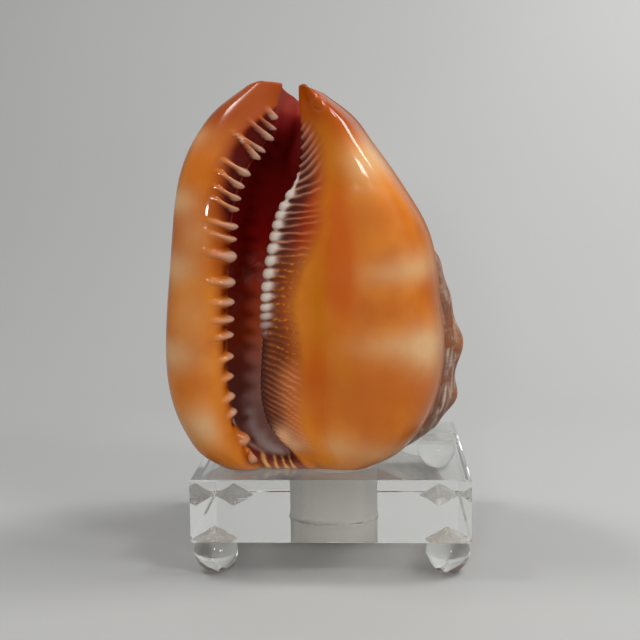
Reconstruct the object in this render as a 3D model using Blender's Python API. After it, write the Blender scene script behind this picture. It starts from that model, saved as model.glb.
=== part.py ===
"""Red helmet shell, Cypraecassis rufa, standing on its spire in the hole of a clear square stand.

The shell is one solid. It is a closed loop of columns carried up the height of the shell: out over the
lip, round the back with its knobs, over the glossy shield, across the folds to the inner edge, into
the mouth, and back out to the lip's teeth. The stand is a clear slab on four clear balls.
"""

import math

import bmesh
import bpy
import numpy as np
from mathutils import Matrix, Vector

MM = 0.001

# The stand, in millimetres.
SLAB_SIDE = 100.0
SLAB_THICKNESS = 23.0
SLAB_CHAMFER = 0.5
HOLE_RADIUS = 16.7
HOLE_SIDES = 36
FOOT_RADIUS = 8.0
FOOT_FLAT_RADIUS = 2.2
FOOT_SIDES = 16
FOOT_RINGS = 8
POCKET_DEPTH = 4.7
POCKET_HALF_ANGLE = math.radians(59.0)
GAP = 0.3

# The foot's centre lies below the slab where the ball would touch the cone, less the gap.
FOOT_DROP = (FOOT_RADIUS + GAP) / math.sin(POCKET_HALF_ANGLE) - POCKET_DEPTH
FOOT_FLAT_DROP = math.sqrt(FOOT_RADIUS ** 2 - FOOT_FLAT_RADIUS ** 2)
FOOT_REACH = SLAB_SIDE / 2 - FOOT_RADIUS
SLAB_BOTTOM = FOOT_FLAT_DROP + FOOT_DROP
SLAB_TOP = SLAB_BOTTOM + SLAB_THICKNESS

# The middle of the stand, set so that the origin is under the middle of the whole object's box.
STAND_X = 5.19
STAND_Y = -0.23

# The shell's outlines. Each is a list of (height above the slab, place), in millimetres, with x to the
# right and y to the back from the middle of the hole. A smooth curve runs through the points.
LIP_EDGE_X = [(0, -40.5), (3.5, -47), (9, -52), (20, -57.4), (34, -60.4), (48, -60.6), (62, -59.6),
              (85, -57.4), (104, -55.2), (116, -51.6), (126, -46), (133, -39.6), (138, -32.4), (141, -28)]
LIP_INNER_X = [(0, -25), (4.5, -28.6), (11.5, -32.4), (22, -35.6), (45, -36.4), (68, -35.5), (90, -33.8),
               (101, -32), (109, -28.5), (116, -23.6), (123, -19.6), (132, -18.6), (141, -18.4)]
FOLD_EDGE_X = [(0, -7.5), (6, -15.4), (12, -22.2), (20, -25.6), (30, -26.6), (50, -25.2), (64, -24.4),
               (73, -23), (81, -20.8), (89, -18), (96, -15), (104, -12), (112, -10.4), (120, -10),
               (130, -11), (141, -11.4)]
SHIELD_RIM_X = [(0, 14), (3, 22), (7, 27.6), (12, 31.8), (21, 36.8), (34, 40.2), (46, 40.8), (60, 39.4),
                (77, 37.4), (89, 33.8), (100, 27.4), (112, 19.4), (120, 13.6), (128, 7.6), (134, 0.4),
                (138, -4.4), (141, -7.2)]
SHIELD_RIM_Y = [(0, -26), (6, -23), (20, -19.5), (44, -18), (77, -18), (100, -17), (120, -16), (141, -17)]
FRONT_Y = [(0, -36.5), (6, -38.2), (20, -39.3), (60, -39.5), (90, -38.8), (108, -36.4), (122, -32.4),
           (133, -28), (141, -24)]
BODY_LEFT_X = [(0, -22.4), (3, -31), (7, -38.6), (13, -45), (22, -49.6), (38, -52), (60, -51.6), (80, -48.6),
               (97, -43.4), (110, -36), (119, -29.6), (127, -25.4), (136, -23.4)]
BODY_RIGHT_X = [(0, 21.4), (3, 29), (7, 35.8), (13, 42.4), (22, 46), (34, 46.6), (48, 46.2), (60, 43.8),
                (75, 37.4), (90, 29.8), (103, 22), (113, 14.2), (121, 8), (128, 3.6), (136, 0.6)]
BODY_BACK_Y = [(0, 21.6), (3, 29), (7, 36), (13, 42.5), (21, 47), (33, 49), (48, 47), (62, 42.4), (76, 35.6),
               (90, 27.4), (103, 18.6), (112, 13), (120, 10), (128, 11), (136, 14.6)]

SHELL_TOP = 141.0
CANAL_TOP = 134.5
TOP_BLEND_FROM = 112.0
SEAT = GAP
SPIRE_DROP = 8.5
SPIRE_RADIUS = HOLE_RADIUS - 2.7
LIP_SEAT = (-21.0, -27.0)

# The mouth's pocket. Its middle line runs back from the slit: share of the depth, place across as a share
# of the body's half width, and half width. Near the top it is straight instead, and leans to the right.
WALL = 5.5
MOUTH_STATIONS = [(0.06, -0.60, 0.13), (0.22, -0.62, 0.20), (0.44, -0.60, 0.26), (0.66, -0.45, 0.24),
                  (0.82, -0.20, 0.17), (0.86, 0.08, 0.12), (0.84, 0.30, 0.07)]
CANAL_LEAN = 5.0

# Knobs stand in spiral rows on the body. Each row: height at the right side, spread, size, knobs a turn.
KNOB_ROWS = [(9.0, 3.4, 2.0, 14, 0.0), (21.0, 5.0, 3.6, 12, 0.0), (42.5, 6.6, 4.2, 11, 0.1),
             (57.0, 5.8, 1.4, 11, 0.55), (73.0, 4.8, 1.5, 12, 0.5), (87.0, 4.2, 0.9, 13, 0.0)]
KNOB_CLIMB = 8.0
KNOB_SHARPNESS = 2.0

# Teeth on the lip: the heights of their tips, from the top down.
TOOTH_HEIGHTS = [126.6, 122.3, 118.6, 114.6, 111.6, 106.8, 102.2, 97.6, 94.0, 88.2, 83.2, 77.4, 68.4, 61.4,
                 55.0, 49.4, 42.3, 35.2, 28.0, 21.6, 11.6, 5.2]
# Folds on the inner edge: the first and last heights, and how many.
FOLD_FROM, FOLD_TO, FOLD_COUNT = 50.0, 122.0, 17
RIDGE_FROM, RIDGE_TO, RIDGE_COUNT = 8.0, 47.0, 9


def smooth(points, at):
    """The value at `at` of the natural cubic spline through (place, value) points."""
    place, value = np.array(points, float).T
    step = np.diff(place)
    slope = np.diff(value) / step
    count = len(place)
    system = np.zeros((count, count))
    right = np.zeros(count)
    system[0, 0] = system[-1, -1] = 1.0
    for row in range(1, count - 1):
        system[row, row - 1:row + 2] = step[row - 1], 2 * (step[row - 1] + step[row]), step[row]
        right[row] = 6 * (slope[row] - slope[row - 1])
    bend = np.linalg.solve(system, right)
    at = np.clip(at, place[0], place[-1])
    cell = np.clip(np.searchsorted(place, at) - 1, 0, count - 2)
    width = step[cell]
    after = at - place[cell]
    before = width - after
    return ((bend[cell] * before ** 3 + bend[cell + 1] * after ** 3) / (6 * width)
            + (value[cell] / width - bend[cell] * width / 6) * before
            + (value[cell + 1] / width - bend[cell + 1] * width / 6) * after)


def ease(value, low, high):
    """0 below low, 1 above high, and a smooth step between them."""
    share = np.clip((value - low) / (high - low), 0.0, 1.0)
    return share * share * (3 - 2 * share)


# Columns are numbered by control points. These are the first control of each stretch of the loop.
LIP_FROM = 0
BODY_FROM = 9
SHIELD_FROM = 21
FOLDS_FROM = 28
MOUTH_FROM = 32
CONTROLS = 48


def lip_controls(height):
    """The lip, from the row of teeth over its broad front and round its edge to the body."""
    edge = smooth(LIP_EDGE_X, height)
    inner = smooth(LIP_INNER_X, height)
    front = smooth(FRONT_Y, height)
    left = smooth(BODY_LEFT_X, height)
    back = smooth(BODY_BACK_Y, height)
    width = inner - edge
    deep = 0.35 + 0.65 * ease(width, 6.0, 24.0)
    root_y = front + np.minimum(28.0, 0.6 * (back - front)) * deep
    return [
        (inner, front + 6.0 * deep),
        (inner - 0.14 * width, front + 1.6 * deep),
        (inner - 0.36 * width, front - 0.4),
        (inner - 0.62 * width, front - 0.2),
        (edge + 0.16 * width, front + 2.6 * deep),
        (edge - 0.4, front + 8.5 * deep),
        (edge - 0.2, front + 14.5 * deep),
        (edge + 0.14 * width, front + 20.0 * deep),
        (0.35 * edge + 0.65 * left + 1.0, 0.25 * front + 0.75 * root_y + 2.0),
    ]


def body_controls(height):
    """The back of the shell: a superellipse from behind the lip round to the right side."""
    left = smooth(BODY_LEFT_X, height)
    right = smooth(BODY_RIGHT_X, height)
    back = smooth(BODY_BACK_Y, height)
    front = smooth(FRONT_Y, height)
    middle_x = (left + right) / 2
    middle_y = back - 0.58 * (back - front)
    points = []
    count = SHIELD_FROM - BODY_FROM
    for number in range(count):
        angle = math.radians(186.0 - 190.0 * number / (count - 1))
        power = 0.93
        across = math.copysign(abs(math.cos(angle)) ** power, math.cos(angle))
        along = math.copysign(abs(math.sin(angle)) ** power, math.sin(angle))
        half = (right - left) / 2
        reach = np.where(along > 0, back - middle_y, 0.6 * (middle_y - front))
        points.append((middle_x + half * across, middle_y + reach * along))
    return points


def shield_controls(height):
    """The shield, from the groove behind its rim, over the rim and across to the amber hollow."""
    rim_x = smooth(SHIELD_RIM_X, height)
    rim_y = smooth(SHIELD_RIM_Y, height)
    front = smooth(FRONT_Y, height)
    fold = smooth(FOLD_EDGE_X, height)
    width = rim_x - fold
    deep = rim_y - front
    return [
        (rim_x + 0.6, rim_y + 5.5),
        (rim_x + 1.2, rim_y + 1.6),
        (rim_x + 0.4, rim_y - 0.22 * deep),
        (rim_x - 0.07 * width, front + 0.36 * deep),
        (rim_x - 0.18 * width, front + 0.1 * deep),
        (rim_x - 0.33 * width, front - 0.3),
        (rim_x - 0.48 * width, front + 0.2),
    ]


def fold_controls(height):
    """The hollow beside the mouth, which carries the folds, up to the mouth's inner edge."""
    fold = smooth(FOLD_EDGE_X, height)
    rim_x = smooth(SHIELD_RIM_X, height)
    front = smooth(FRONT_Y, height)
    width = rim_x - fold
    hollow = ease(height, 2.0, 22.0) * (0.4 + 0.6 * (1 - ease(height, 96.0, 132.0)))
    return [
        (fold + 0.38 * width, front + 0.4 + 2.4 * hollow),
        (fold + 0.26 * width, front + 1.0 + 5.0 * hollow),
        (fold + 0.14 * width, front + 1.6 + 6.2 * hollow),
        (fold + 0.04 * width, front + 2.6 + 5.6 * hollow),
    ]


def mouth_controls(height):
    """The mouth: a bent pocket round a middle line, wide behind the lip and ending in the dark."""
    inner = smooth(LIP_INNER_X, height)
    fold = smooth(FOLD_EDGE_X, height)
    front = smooth(FRONT_Y, height)
    left = smooth(BODY_LEFT_X, height)
    right = smooth(BODY_RIGHT_X, height)
    back = smooth(BODY_BACK_Y, height)
    half_slit = (fold - inner) / 2
    slit_x = (fold + inner) / 2
    slit_y = front + 9.0
    bent = 1 - ease(height, 84.0, 122.0)
    room = (right - left) / 2
    middle_x = (left + right) / 2
    back_inside = back - WALL
    deep = back_inside - slit_y
    open_share = ease(height, SEAT, 15.0)
    line = []
    for number, (share, bent_x, half) in enumerate(MOUTH_STATIONS):
        curved = middle_x + bent_x * room
        straight_share = 0.95 * number / (len(MOUTH_STATIONS) - 1)
        start = ease(share, 0.0, 0.25)
        x = slit_x + bent * (curved - slit_x) * start + (1 - bent) * CANAL_LEAN * straight_share
        y = slit_y + deep * (bent * share + (1 - bent) * straight_share)
        narrow = (half_slit + 1.5) * (1.0 - 0.5 * ease(share, 0.7, 0.9))
        wide = np.maximum(half * room, (half_slit + 2.0) * (1 - ease(share, 0.1, 0.5)))
        line.append((x, y, bent * wide + (1 - bent) * narrow))
    right_side, left_side = [], []
    for number, (x, y, half) in enumerate(line):
        x_before, y_before = line[max(number - 1, 0)][:2]
        x_after, y_after = line[min(number + 1, len(line) - 1)][:2]
        run_x, run_y = x_after - x_before, y_after - y_before
        length = np.hypot(run_x, run_y) + 1e-9
        right_side.append((x + half * run_y / length, y - half * run_x / length))
        left_side.append((x - half * run_y / length, y + half * run_x / length))
    wall = right_side + left_side[::-1]
    edge = [(fold + 0.2, front + 6.5)] + wall + [(inner - 1.2, front + 9.5)]
    count = len(edge) + 1
    points = []
    for number, (x, y) in enumerate(edge):
        flat = (number + 1) / count
        flat_x = fold + (inner - fold) * flat
        flat_y = front + 2.0
        points.append((flat_x + (x - flat_x) * open_share, flat_y + (y - flat_y) * open_share))
    return points


def section_controls(height):
    """Every control point of the loop, for heights given per row and control: arrays of x and y."""
    makers = [(LIP_FROM, lip_controls), (BODY_FROM, body_controls), (SHIELD_FROM, shield_controls),
              (FOLDS_FROM, fold_controls), (MOUTH_FROM, mouth_controls)]
    across = np.zeros_like(height)
    along = np.zeros_like(height)
    for first, maker in makers:
        last = len(maker(height[:, first]))
        for offset in range(last):
            x, y = maker(height[:, first + offset])[offset]
            across[:, first + offset] = x
            along[:, first + offset] = y
    return across, along


def spire_angles():
    """Where each control point lies round the spire, clockwise from the lip's teeth seen from above."""
    marks = [(0, 240.0), (5, 216.0), (8, 190.0), (15, 90.0), (20, 4.0), (22, -22.0), (28, -72.0),
             (MOUTH_FROM, -104.0), (CONTROLS, -120.0)]
    number, angle = np.array(marks).T
    return np.radians(np.interp(np.arange(CONTROLS), number, angle))


def under_lip():
    """How far each control's line across the flat seat bends by way of the middle of the lip's foot."""
    marks = [(0, 0.6), (2, 1.0), (6.5, 1.0), (8, 0.6), (9, 0.0), (44, 0.0), (CONTROLS, 0.6)]
    number, share = np.array(marks).T
    return np.interp(np.arange(CONTROLS), number, share)


def top_heights():
    """The height at which each control's wall ends: the two lobes stand above the canal between them."""
    marks = [(0, SHELL_TOP), (4, SHELL_TOP - 0.5), (8, CANAL_TOP + 4), (12, CANAL_TOP + 2), (16, CANAL_TOP),
             (19, CANAL_TOP - 0.5), (22, CANAL_TOP + 3), (25, SHELL_TOP - 2.5), (29, SHELL_TOP - 1),
             (31, SHELL_TOP - 1.2), (33, SHELL_TOP - 2.5), (36, CANAL_TOP), (40, CANAL_TOP + 0.5), (43, CANAL_TOP + 3.5),
             (46, SHELL_TOP - 0.8), (CONTROLS, SHELL_TOP)]
    number, height = np.array(marks).T
    return np.interp(np.arange(CONTROLS), number, height)


def row_heights(rows):
    """Heights of the controls for row places: -1 to 0 the spire, 0 to 1 the seat, 1 to 2 the wall."""
    tops = top_heights()[None, :]
    wall = np.clip(rows - 1, 0, 1)[:, None]
    level = SEAT + (SHELL_TOP - SEAT) * wall
    raised = TOP_BLEND_FROM + (level - TOP_BLEND_FROM) * (tops - TOP_BLEND_FROM) / (SHELL_TOP - TOP_BLEND_FROM)
    return np.where(level > TOP_BLEND_FROM, raised, level)


def spline_weights(columns):
    """A matrix that turns control points into points at the columns: closed uniform cubic B-spline."""
    cell = np.floor(columns).astype(int)
    part = columns - cell
    weights = [(1 - part) ** 3 / 6, (3 * part ** 3 - 6 * part ** 2 + 4) / 6,
               (-3 * part ** 3 + 3 * part ** 2 + 3 * part + 1) / 6, part ** 3 / 6]
    matrix = np.zeros((len(columns), CONTROLS))
    for offset, weight in zip((-1, 0, 1, 2), weights):
        np.add.at(matrix, (np.arange(len(columns)), (cell + offset) % CONTROLS), weight)
    return matrix


def plain_surface(rows, columns):
    """Points of the shell without knobs, teeth and folds, as an array of rows by columns by xyz."""
    height = row_heights(rows)
    across, along = section_controls(height)
    turn = spire_angles()
    cone = np.clip(rows + 1, 0, 1)[:, None]
    spire_x = SPIRE_RADIUS * cone ** 0.9 * np.cos(turn)
    spire_y = SPIRE_RADIUS * cone ** 0.9 * np.sin(turn)
    seat = np.clip(rows, 0, 1)[:, None]
    bow = 2 * seat * (1 - seat) * under_lip()
    across = spire_x + (across - spire_x) * seat + bow * (LIP_SEAT[0] - (across + spire_x) / 2)
    along = spire_y + (along - spire_y) * seat + bow * (LIP_SEAT[1] - (along + spire_y) / 2)
    height = height - (SPIRE_DROP + SEAT) * (1 - cone ** 1.4)
    weights = spline_weights(columns)
    return np.stack([across @ weights.T, along @ weights.T, height @ weights.T], axis=-1)


def between(columns, low, high, soft):
    """1 for columns from low to high, fading to 0 over soft controls on each side."""
    return ease(columns, low - soft, low + soft) * (1 - ease(columns, high - soft, high + soft))


def knobs(points, columns):
    """How far the knobs raise the body: each spiral row is a ridge whose height swells at each knob."""
    turn = (np.arctan2(points[..., 1] - 2.0, points[..., 0] + 3.0) + 1.0) % (2 * math.pi) - 1.0
    share = turn / math.pi
    height = points[..., 2]
    total = np.zeros_like(height)
    for level, spread, size, count, phase in KNOB_ROWS:
        middle = level + KNOB_CLIMB * share
        ridge = np.exp(-((height - middle) / spread) ** 2)
        swell = (0.5 + 0.5 * np.cos(count * turn + 2 * math.pi * phase)) ** KNOB_SHARPNESS
        total += size * ridge * (0.18 + 0.82 * swell)
    return total * between(columns, 9.2, 20.6, 0.9)[None, :] * ease(height, 2.0, 10.0)


def comb(height, centres, half_width):
    """Rounded ridges across the height: 1 on each centre and 0 at half_width from it."""
    nearest = np.min(np.abs(height[..., None] - np.array(centres)), axis=-1)
    return np.clip(1 - (nearest / half_width) ** 2, 0, None)


def tooth_push(points, columns):
    """How far the teeth reach into the mouth, and how far they stand out of the lip's inner slope."""
    slant = 1.1 * ease(points[..., 2], 88.0, 112.0) - 0.25 * (1 - ease(points[..., 2], 22.0, 60.0))
    inner = smooth(LIP_INNER_X, points[..., 2])
    level = points[..., 2] + slant * (points[..., 0] - inner)
    tooth = comb(level, TOOTH_HEIGHTS, 2.0) * ease(points[..., 2], 5.0, 11.0)
    wrapped = (columns + CONTROLS / 2) % CONTROLS - CONTROLS / 2
    tip = np.exp(-((wrapped + 0.1) / 0.75) ** 2)[None, :]
    root = between(wrapped, -0.6, 1.5, 0.5)[None, :]
    return tooth * tip * 1.9, tooth * root * 1.1


def fold_push(points, columns):
    """How far the folds stand out of the hollow beside the mouth."""
    height = points[..., 2]
    edge = smooth(FOLD_EDGE_X, height)
    rise = height - (points[..., 0] - edge) * (0.9 * ease(height, 84.0, 112.0) - 0.35 * (1 - ease(height, 36.0, 52.0)))
    upper = comb(rise, np.linspace(FOLD_FROM, FOLD_TO, FOLD_COUNT), 1.7)
    lower = comb(rise, np.linspace(RIDGE_FROM, RIDGE_TO, RIDGE_COUNT), 1.6)
    reach = between(columns, 29.6, 32.4, 0.8)[None, :]
    return (upper * 1.1 + lower * 0.6) * reach


def shell_points(rows, columns):
    """Points of the finished shell: the plain surface pushed out along its normals by its relief."""
    small = 1e-3
    points = plain_surface(rows, columns)
    along_rows = plain_surface(rows + small, columns) - plain_surface(rows - small, columns)
    along_columns = plain_surface(rows, columns + small) - plain_surface(rows, columns - small)
    normal = np.cross(along_rows, along_columns)
    length = np.linalg.norm(normal, axis=-1, keepdims=True)
    normal = np.where(length > 1e-12, normal / np.maximum(length, 1e-12), 0.0)
    on_wall = ease(rows, 1.0, 1.02)[:, None]
    reach, stand = tooth_push(points, columns)
    outward = (knobs(points, columns) + stand + fold_push(points, columns)) * on_wall
    moved = points + normal * outward[..., None]
    moved[..., 0] += reach * on_wall
    return moved


def wall_rows(count):
    """Row places: the spire, the flat seat, then the wall with rows closer together at both ends."""
    spire = [-1.0, -0.6, -0.25, 0.0]
    seat = [0.55]
    wall = [1.0, 1.01, 1.028, 1.052] + list(np.linspace(1.08, 1.965, count)) + [1.985, 2.0]
    return np.array(spire + seat + wall)


def split_rows(rows, parts, low, high):
    """The rows with each step between low and high cut into equal parts, and the parts of each step."""
    cuts = np.where((rows[:-1] >= low) & (rows[1:] <= high), parts, 1)
    fine = [np.linspace(first, last, cut, endpoint=False) for first, last, cut in zip(rows[:-1], rows[1:], cuts)]
    return np.concatenate(fine + [rows[-1:]]), cuts


# Steps of each stretch of columns: from which control, columns for each control, row parts. The wall has
# WALL_STEPS rows, and its rows within FINE_ROWS are cut into the row parts.
WALL_STEPS = 32
FINE_ROWS = (1.025, 1.93)
STRETCHES = [(0, 2, 3), (2, 1, 1), (4, 1, 1), (9, 3, 1), (21, 1, 1), (28, 1, 1), (30, 2, 3), (33, 1, 1),
             (47, 2, 3)]


def column_plan():
    """The columns round the loop and the row parts of the strip that follows each one."""
    columns, parts = [], []
    ends = [stretch[0] for stretch in STRETCHES[1:]] + [CONTROLS]
    for (first, steps, part), last in zip(STRETCHES, ends):
        places = np.arange(first, last, 1 / steps)
        columns += list(places)
        parts += [part] * len(places)
    return np.array(columns), parts


def strip(left, left_cuts, right, right_cuts):
    """Triangles between two columns of vertex numbers whose steps are cut into different parts."""
    triangles = []
    a = b = 0
    for left_cut, right_cut in zip(left_cuts, right_cuts):
        if left_cut == right_cut:
            for step in range(left_cut):
                a0, a1, b0, b1 = left[a + step], left[a + step + 1], right[b + step], right[b + step + 1]
                triangles += [(a0, a1, b1), (a0, b1, b0)]
        elif left_cut > right_cut:
            half = left_cut // 2 + 1
            for step in range(left_cut):
                apex = right[b] if step < half else right[b + 1]
                triangles.append((left[a + step], left[a + step + 1], apex))
            triangles.append((left[a + half], right[b + 1], right[b]))
        else:
            half = right_cut // 2 + 1
            for step in range(right_cut):
                apex = left[a] if step < half else left[a + 1]
                triangles.append((apex, right[b + step + 1], right[b + step]))
            triangles.append((left[a], left[a + 1], right[b + half]))
        a += left_cut
        b += right_cut
    return triangles


def zip_rims(points, outer, inner):
    """Triangles that close the top between the outer and inner rims, which share both of their ends."""
    triangles = []
    a, b = 0, 0
    while a < len(outer) - 1 or b < len(inner) - 1:
        if a == len(outer) - 1:
            step_outer = False
        elif b == len(inner) - 1:
            step_outer = True
        else:
            across_outer = np.linalg.norm(points[outer[a + 1]] - points[inner[b]])
            across_inner = np.linalg.norm(points[outer[a]] - points[inner[b + 1]])
            step_outer = across_outer < across_inner
        if step_outer:
            triangles.append((outer[a], inner[b], outer[a + 1]))
            a += 1
        else:
            triangles.append((outer[a], inner[b], inner[b + 1]))
            b += 1
    return [face for face in triangles if len(set(face)) == 3]


def shell_mesh():
    """Vertices and triangles of the whole shell."""
    base_rows = wall_rows(WALL_STEPS)
    columns, parts = column_plan()
    count = len(columns)
    parts = [max(parts[number], parts[number - 1]) for number in range(count)]
    plans = {part: split_rows(base_rows, part, *FINE_ROWS) for part in set(parts)}
    grids = {part: shell_points(rows[1:], columns) for part, (rows, _) in plans.items()}
    points, numbers, total = [plain_surface(base_rows[:1], columns)[0].mean(axis=0)[None, :]], [], 1
    for number, part in enumerate(parts):
        column = grids[part][:, number]
        points.append(column)
        numbers.append([0, *range(total, total + len(column))])
        total += len(column)
    points = np.concatenate(points)
    triangles = []
    for number, part in enumerate(parts):
        after = (number + 1) % count
        triangles += strip(numbers[number], plans[part][1], numbers[after], plans[parts[after]][1])
    triangles = [face for face in triangles if len(set(face)) == 3]
    rim = [column[-1] for column in numbers]
    turn = int(np.argmin(np.abs(columns - MOUTH_FROM)))
    outer = rim[:turn + 1]
    inner = [rim[0]] + rim[:turn - 1:-1]
    triangles += zip_rims(points, outer, inner)
    return points, triangles


def material(name, colour, roughness, transmission=0.0):
    """A plain material in the piece's colour."""
    made = bpy.data.materials.new(name)
    made.use_nodes = True
    shader = made.node_tree.nodes["Principled BSDF"]
    shader.inputs["Base Color"].default_value = (*colour, 1.0)
    shader.inputs["Roughness"].default_value = roughness
    shader.inputs["Metallic"].default_value = 0.0
    shader.inputs["Transmission Weight"].default_value = transmission
    return made


def add_object(name, mesh, finish):
    """An object of the scene with one material."""
    mesh.materials.append(finish)
    made = bpy.data.objects.new(name, mesh)
    bpy.context.scene.collection.objects.link(made)
    return made


def cutter(name, mesh):
    """A hidden object that only cuts others."""
    made = bpy.data.objects.new(name, mesh)
    bpy.context.scene.collection.objects.link(made)
    made.hide_render = True
    made.display_type = "WIRE"
    return made


def add_cone(shape, sides, low_radius, high_radius, low, high, x, y):
    """A cone or cylinder with closed ends from height low to height high, added to a bmesh."""
    middle = Matrix.Translation((x * MM, y * MM, (low + high) / 2 * MM))
    bmesh.ops.create_cone(shape, cap_ends=True, segments=sides, radius1=low_radius * MM,
                          radius2=high_radius * MM, depth=(high - low) * MM, matrix=middle)


def foot_places():
    """The name and the place across and along of each foot."""
    for row, side_y in (("front", -1), ("back", 1)):
        for column, side_x in (("left", -1), ("right", 1)):
            yield f"foot_{row}_{column}", STAND_X + side_x * FOOT_REACH, STAND_Y + side_y * FOOT_REACH


def make_slab(finish):
    """The clear slab: a block with narrow chamfers, its hole, and a drilled cone over each foot."""
    block = bmesh.new()
    middle = Vector((STAND_X, STAND_Y, (SLAB_BOTTOM + SLAB_TOP) / 2)) * MM
    size = Matrix.Diagonal((SLAB_SIDE * MM, SLAB_SIDE * MM, SLAB_THICKNESS * MM, 1.0))
    bmesh.ops.create_cube(block, size=1.0, matrix=Matrix.Translation(middle) @ size)
    bmesh.ops.bevel(block, geom=block.edges[:], offset=SLAB_CHAMFER * MM, segments=1, affect="EDGES")
    mesh = bpy.data.meshes.new("base_slab")
    block.to_mesh(mesh)
    block.free()
    slab = add_object("base_slab", mesh, finish)
    hollow = bmesh.new()
    add_cone(hollow, HOLE_SIDES, HOLE_RADIUS, HOLE_RADIUS, SLAB_BOTTOM - 2, SLAB_TOP + 2, STAND_X, STAND_Y)
    spread = math.tan(POCKET_HALF_ANGLE)
    for _, x, y in foot_places():
        add_cone(hollow, FOOT_SIDES, (POCKET_DEPTH + 1) * spread, 0.0, SLAB_BOTTOM - 1,
                 SLAB_BOTTOM + POCKET_DEPTH, x, y)
    cut_mesh = bpy.data.meshes.new("slab_hollows")
    hollow.to_mesh(cut_mesh)
    hollow.free()
    cut = slab.modifiers.new("hollows", "BOOLEAN")
    cut.operation = "DIFFERENCE"
    cut.solver = "EXACT"
    cut.object = cutter("slab_hollows", cut_mesh)


def make_feet(finish):
    """The four clear balls, each with the small flat that it rests on."""
    ball = bmesh.new()
    bmesh.ops.create_uvsphere(ball, u_segments=FOOT_SIDES, v_segments=FOOT_RINGS, radius=FOOT_RADIUS * MM)
    everything = ball.verts[:] + ball.edges[:] + ball.faces[:]
    cut = bmesh.ops.bisect_plane(ball, geom=everything, plane_co=(0, 0, -FOOT_FLAT_DROP * MM),
                                 plane_no=(0, 0, -1), clear_outer=True)
    rim = [item for item in cut["geom_cut"] if isinstance(item, bmesh.types.BMEdge)]
    bmesh.ops.contextual_create(ball, geom=rim)
    bmesh.ops.recalc_face_normals(ball, faces=ball.faces[:])
    mesh = bpy.data.meshes.new("foot")
    ball.to_mesh(mesh)
    ball.free()
    mesh.shade_smooth()
    mesh.set_sharp_from_angle(angle=math.radians(50))
    mesh.materials.append(finish)
    for name, x, y in foot_places():
        foot = bpy.data.objects.new(name, mesh)
        bpy.context.scene.collection.objects.link(foot)
        foot.location = Vector((x, y, FOOT_FLAT_DROP)) * MM


def make_shell(finish):
    """The shell, standing with its spire in the slab's hole."""
    points, triangles = shell_mesh()
    points = (points + [STAND_X, STAND_Y, SLAB_TOP]) * MM
    mesh = bpy.data.meshes.new("shell")
    mesh.from_pydata(points.tolist(), [], triangles)
    mesh.shade_smooth()
    add_object("shell", mesh, finish)


def main():
    for item in list(bpy.data.objects):
        bpy.data.objects.remove(item)
    make_shell(material("glossy_shell", (0.62, 0.24, 0.07), 0.2))
    make_slab(material("clear_slab", (0.93, 0.94, 0.93), 0.05, 1.0))
    make_feet(material("clear_ball", (0.93, 0.94, 0.93), 0.05, 1.0))


main()
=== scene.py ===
"""The looks of a red helmet shell, Cypraecassis rufa, on its clear stand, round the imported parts.

Shapes are worked out in millimetres from the middle of the slab's top, x to the right, y to the back and
z up. They go into their meshes in metres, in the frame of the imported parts.
"""

import math

import bpy
import numpy as np
from mathutils import Matrix, Vector


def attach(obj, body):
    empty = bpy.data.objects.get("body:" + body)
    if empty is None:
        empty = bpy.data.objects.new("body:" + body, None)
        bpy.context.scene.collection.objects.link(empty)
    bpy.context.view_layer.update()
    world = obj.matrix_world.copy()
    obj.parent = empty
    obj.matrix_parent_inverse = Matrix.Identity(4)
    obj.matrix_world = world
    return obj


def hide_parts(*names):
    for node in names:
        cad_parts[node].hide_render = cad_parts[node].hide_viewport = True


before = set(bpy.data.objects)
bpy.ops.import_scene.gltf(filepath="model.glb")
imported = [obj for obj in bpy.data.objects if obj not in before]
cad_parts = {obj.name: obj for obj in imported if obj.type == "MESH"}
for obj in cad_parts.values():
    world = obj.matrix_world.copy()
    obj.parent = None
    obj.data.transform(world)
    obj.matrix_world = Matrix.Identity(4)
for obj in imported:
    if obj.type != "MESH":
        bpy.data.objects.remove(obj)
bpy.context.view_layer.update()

# A millimetre in metres.
MM = 0.001

# The stand, in millimetres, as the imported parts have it.
SLAB_SIDE = 100.0
SLAB_THICKNESS = 23.0
SLAB_CHAMFER = 0.5
HOLE_RADIUS = 16.7
FOOT_RADIUS = 8.0
FOOT_FLAT_RADIUS = 2.2
POCKET_DEPTH = 4.7
POCKET_HALF_ANGLE = math.radians(59.0)
GAP = 0.3
FOOT_DROP = (FOOT_RADIUS + GAP) / math.sin(POCKET_HALF_ANGLE) - POCKET_DEPTH
FOOT_FLAT_DROP = math.sqrt(FOOT_RADIUS ** 2 - FOOT_FLAT_RADIUS ** 2)
FOOT_REACH = SLAB_SIDE / 2 - FOOT_RADIUS
SLAB_TOP = FOOT_FLAT_DROP + FOOT_DROP + SLAB_THICKNESS
# The middle of the slab's top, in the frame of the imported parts.
MIDDLE = np.array([5.19, -0.23, SLAB_TOP])
# How strongly the clear pieces bend light. The slab's is low, which puts its inner edges nearer to where
# the photograph has them.
SLAB_INDEX = 1.39
BALL_INDEX = 1.49
# The chips round the hole: how far below the slab's top they lie, how they waver, spread and reach.
CHIPS_DROP = 22.5
CHIPS_WAVER = 0.5
CHIPS_SPREAD = 0.6
CHIPS_DEPTH = 0.7
# A cutter passes the faces that it cuts by this much.
CUT_PAST = 2.0
# Points round and along what is turned.
HOLE_SIDES = 160
HOLE_ROWS = 70
POCKET_SIDES = 56
POCKET_ROWS = 18
BALL_SIDES = 96
BALL_ROWS = 56
# Edges that bend more than this are shaded sharp.
SHARP_SLAB_EDGE = math.radians(35)
SHARP_BALL_EDGE = math.radians(40)

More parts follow.
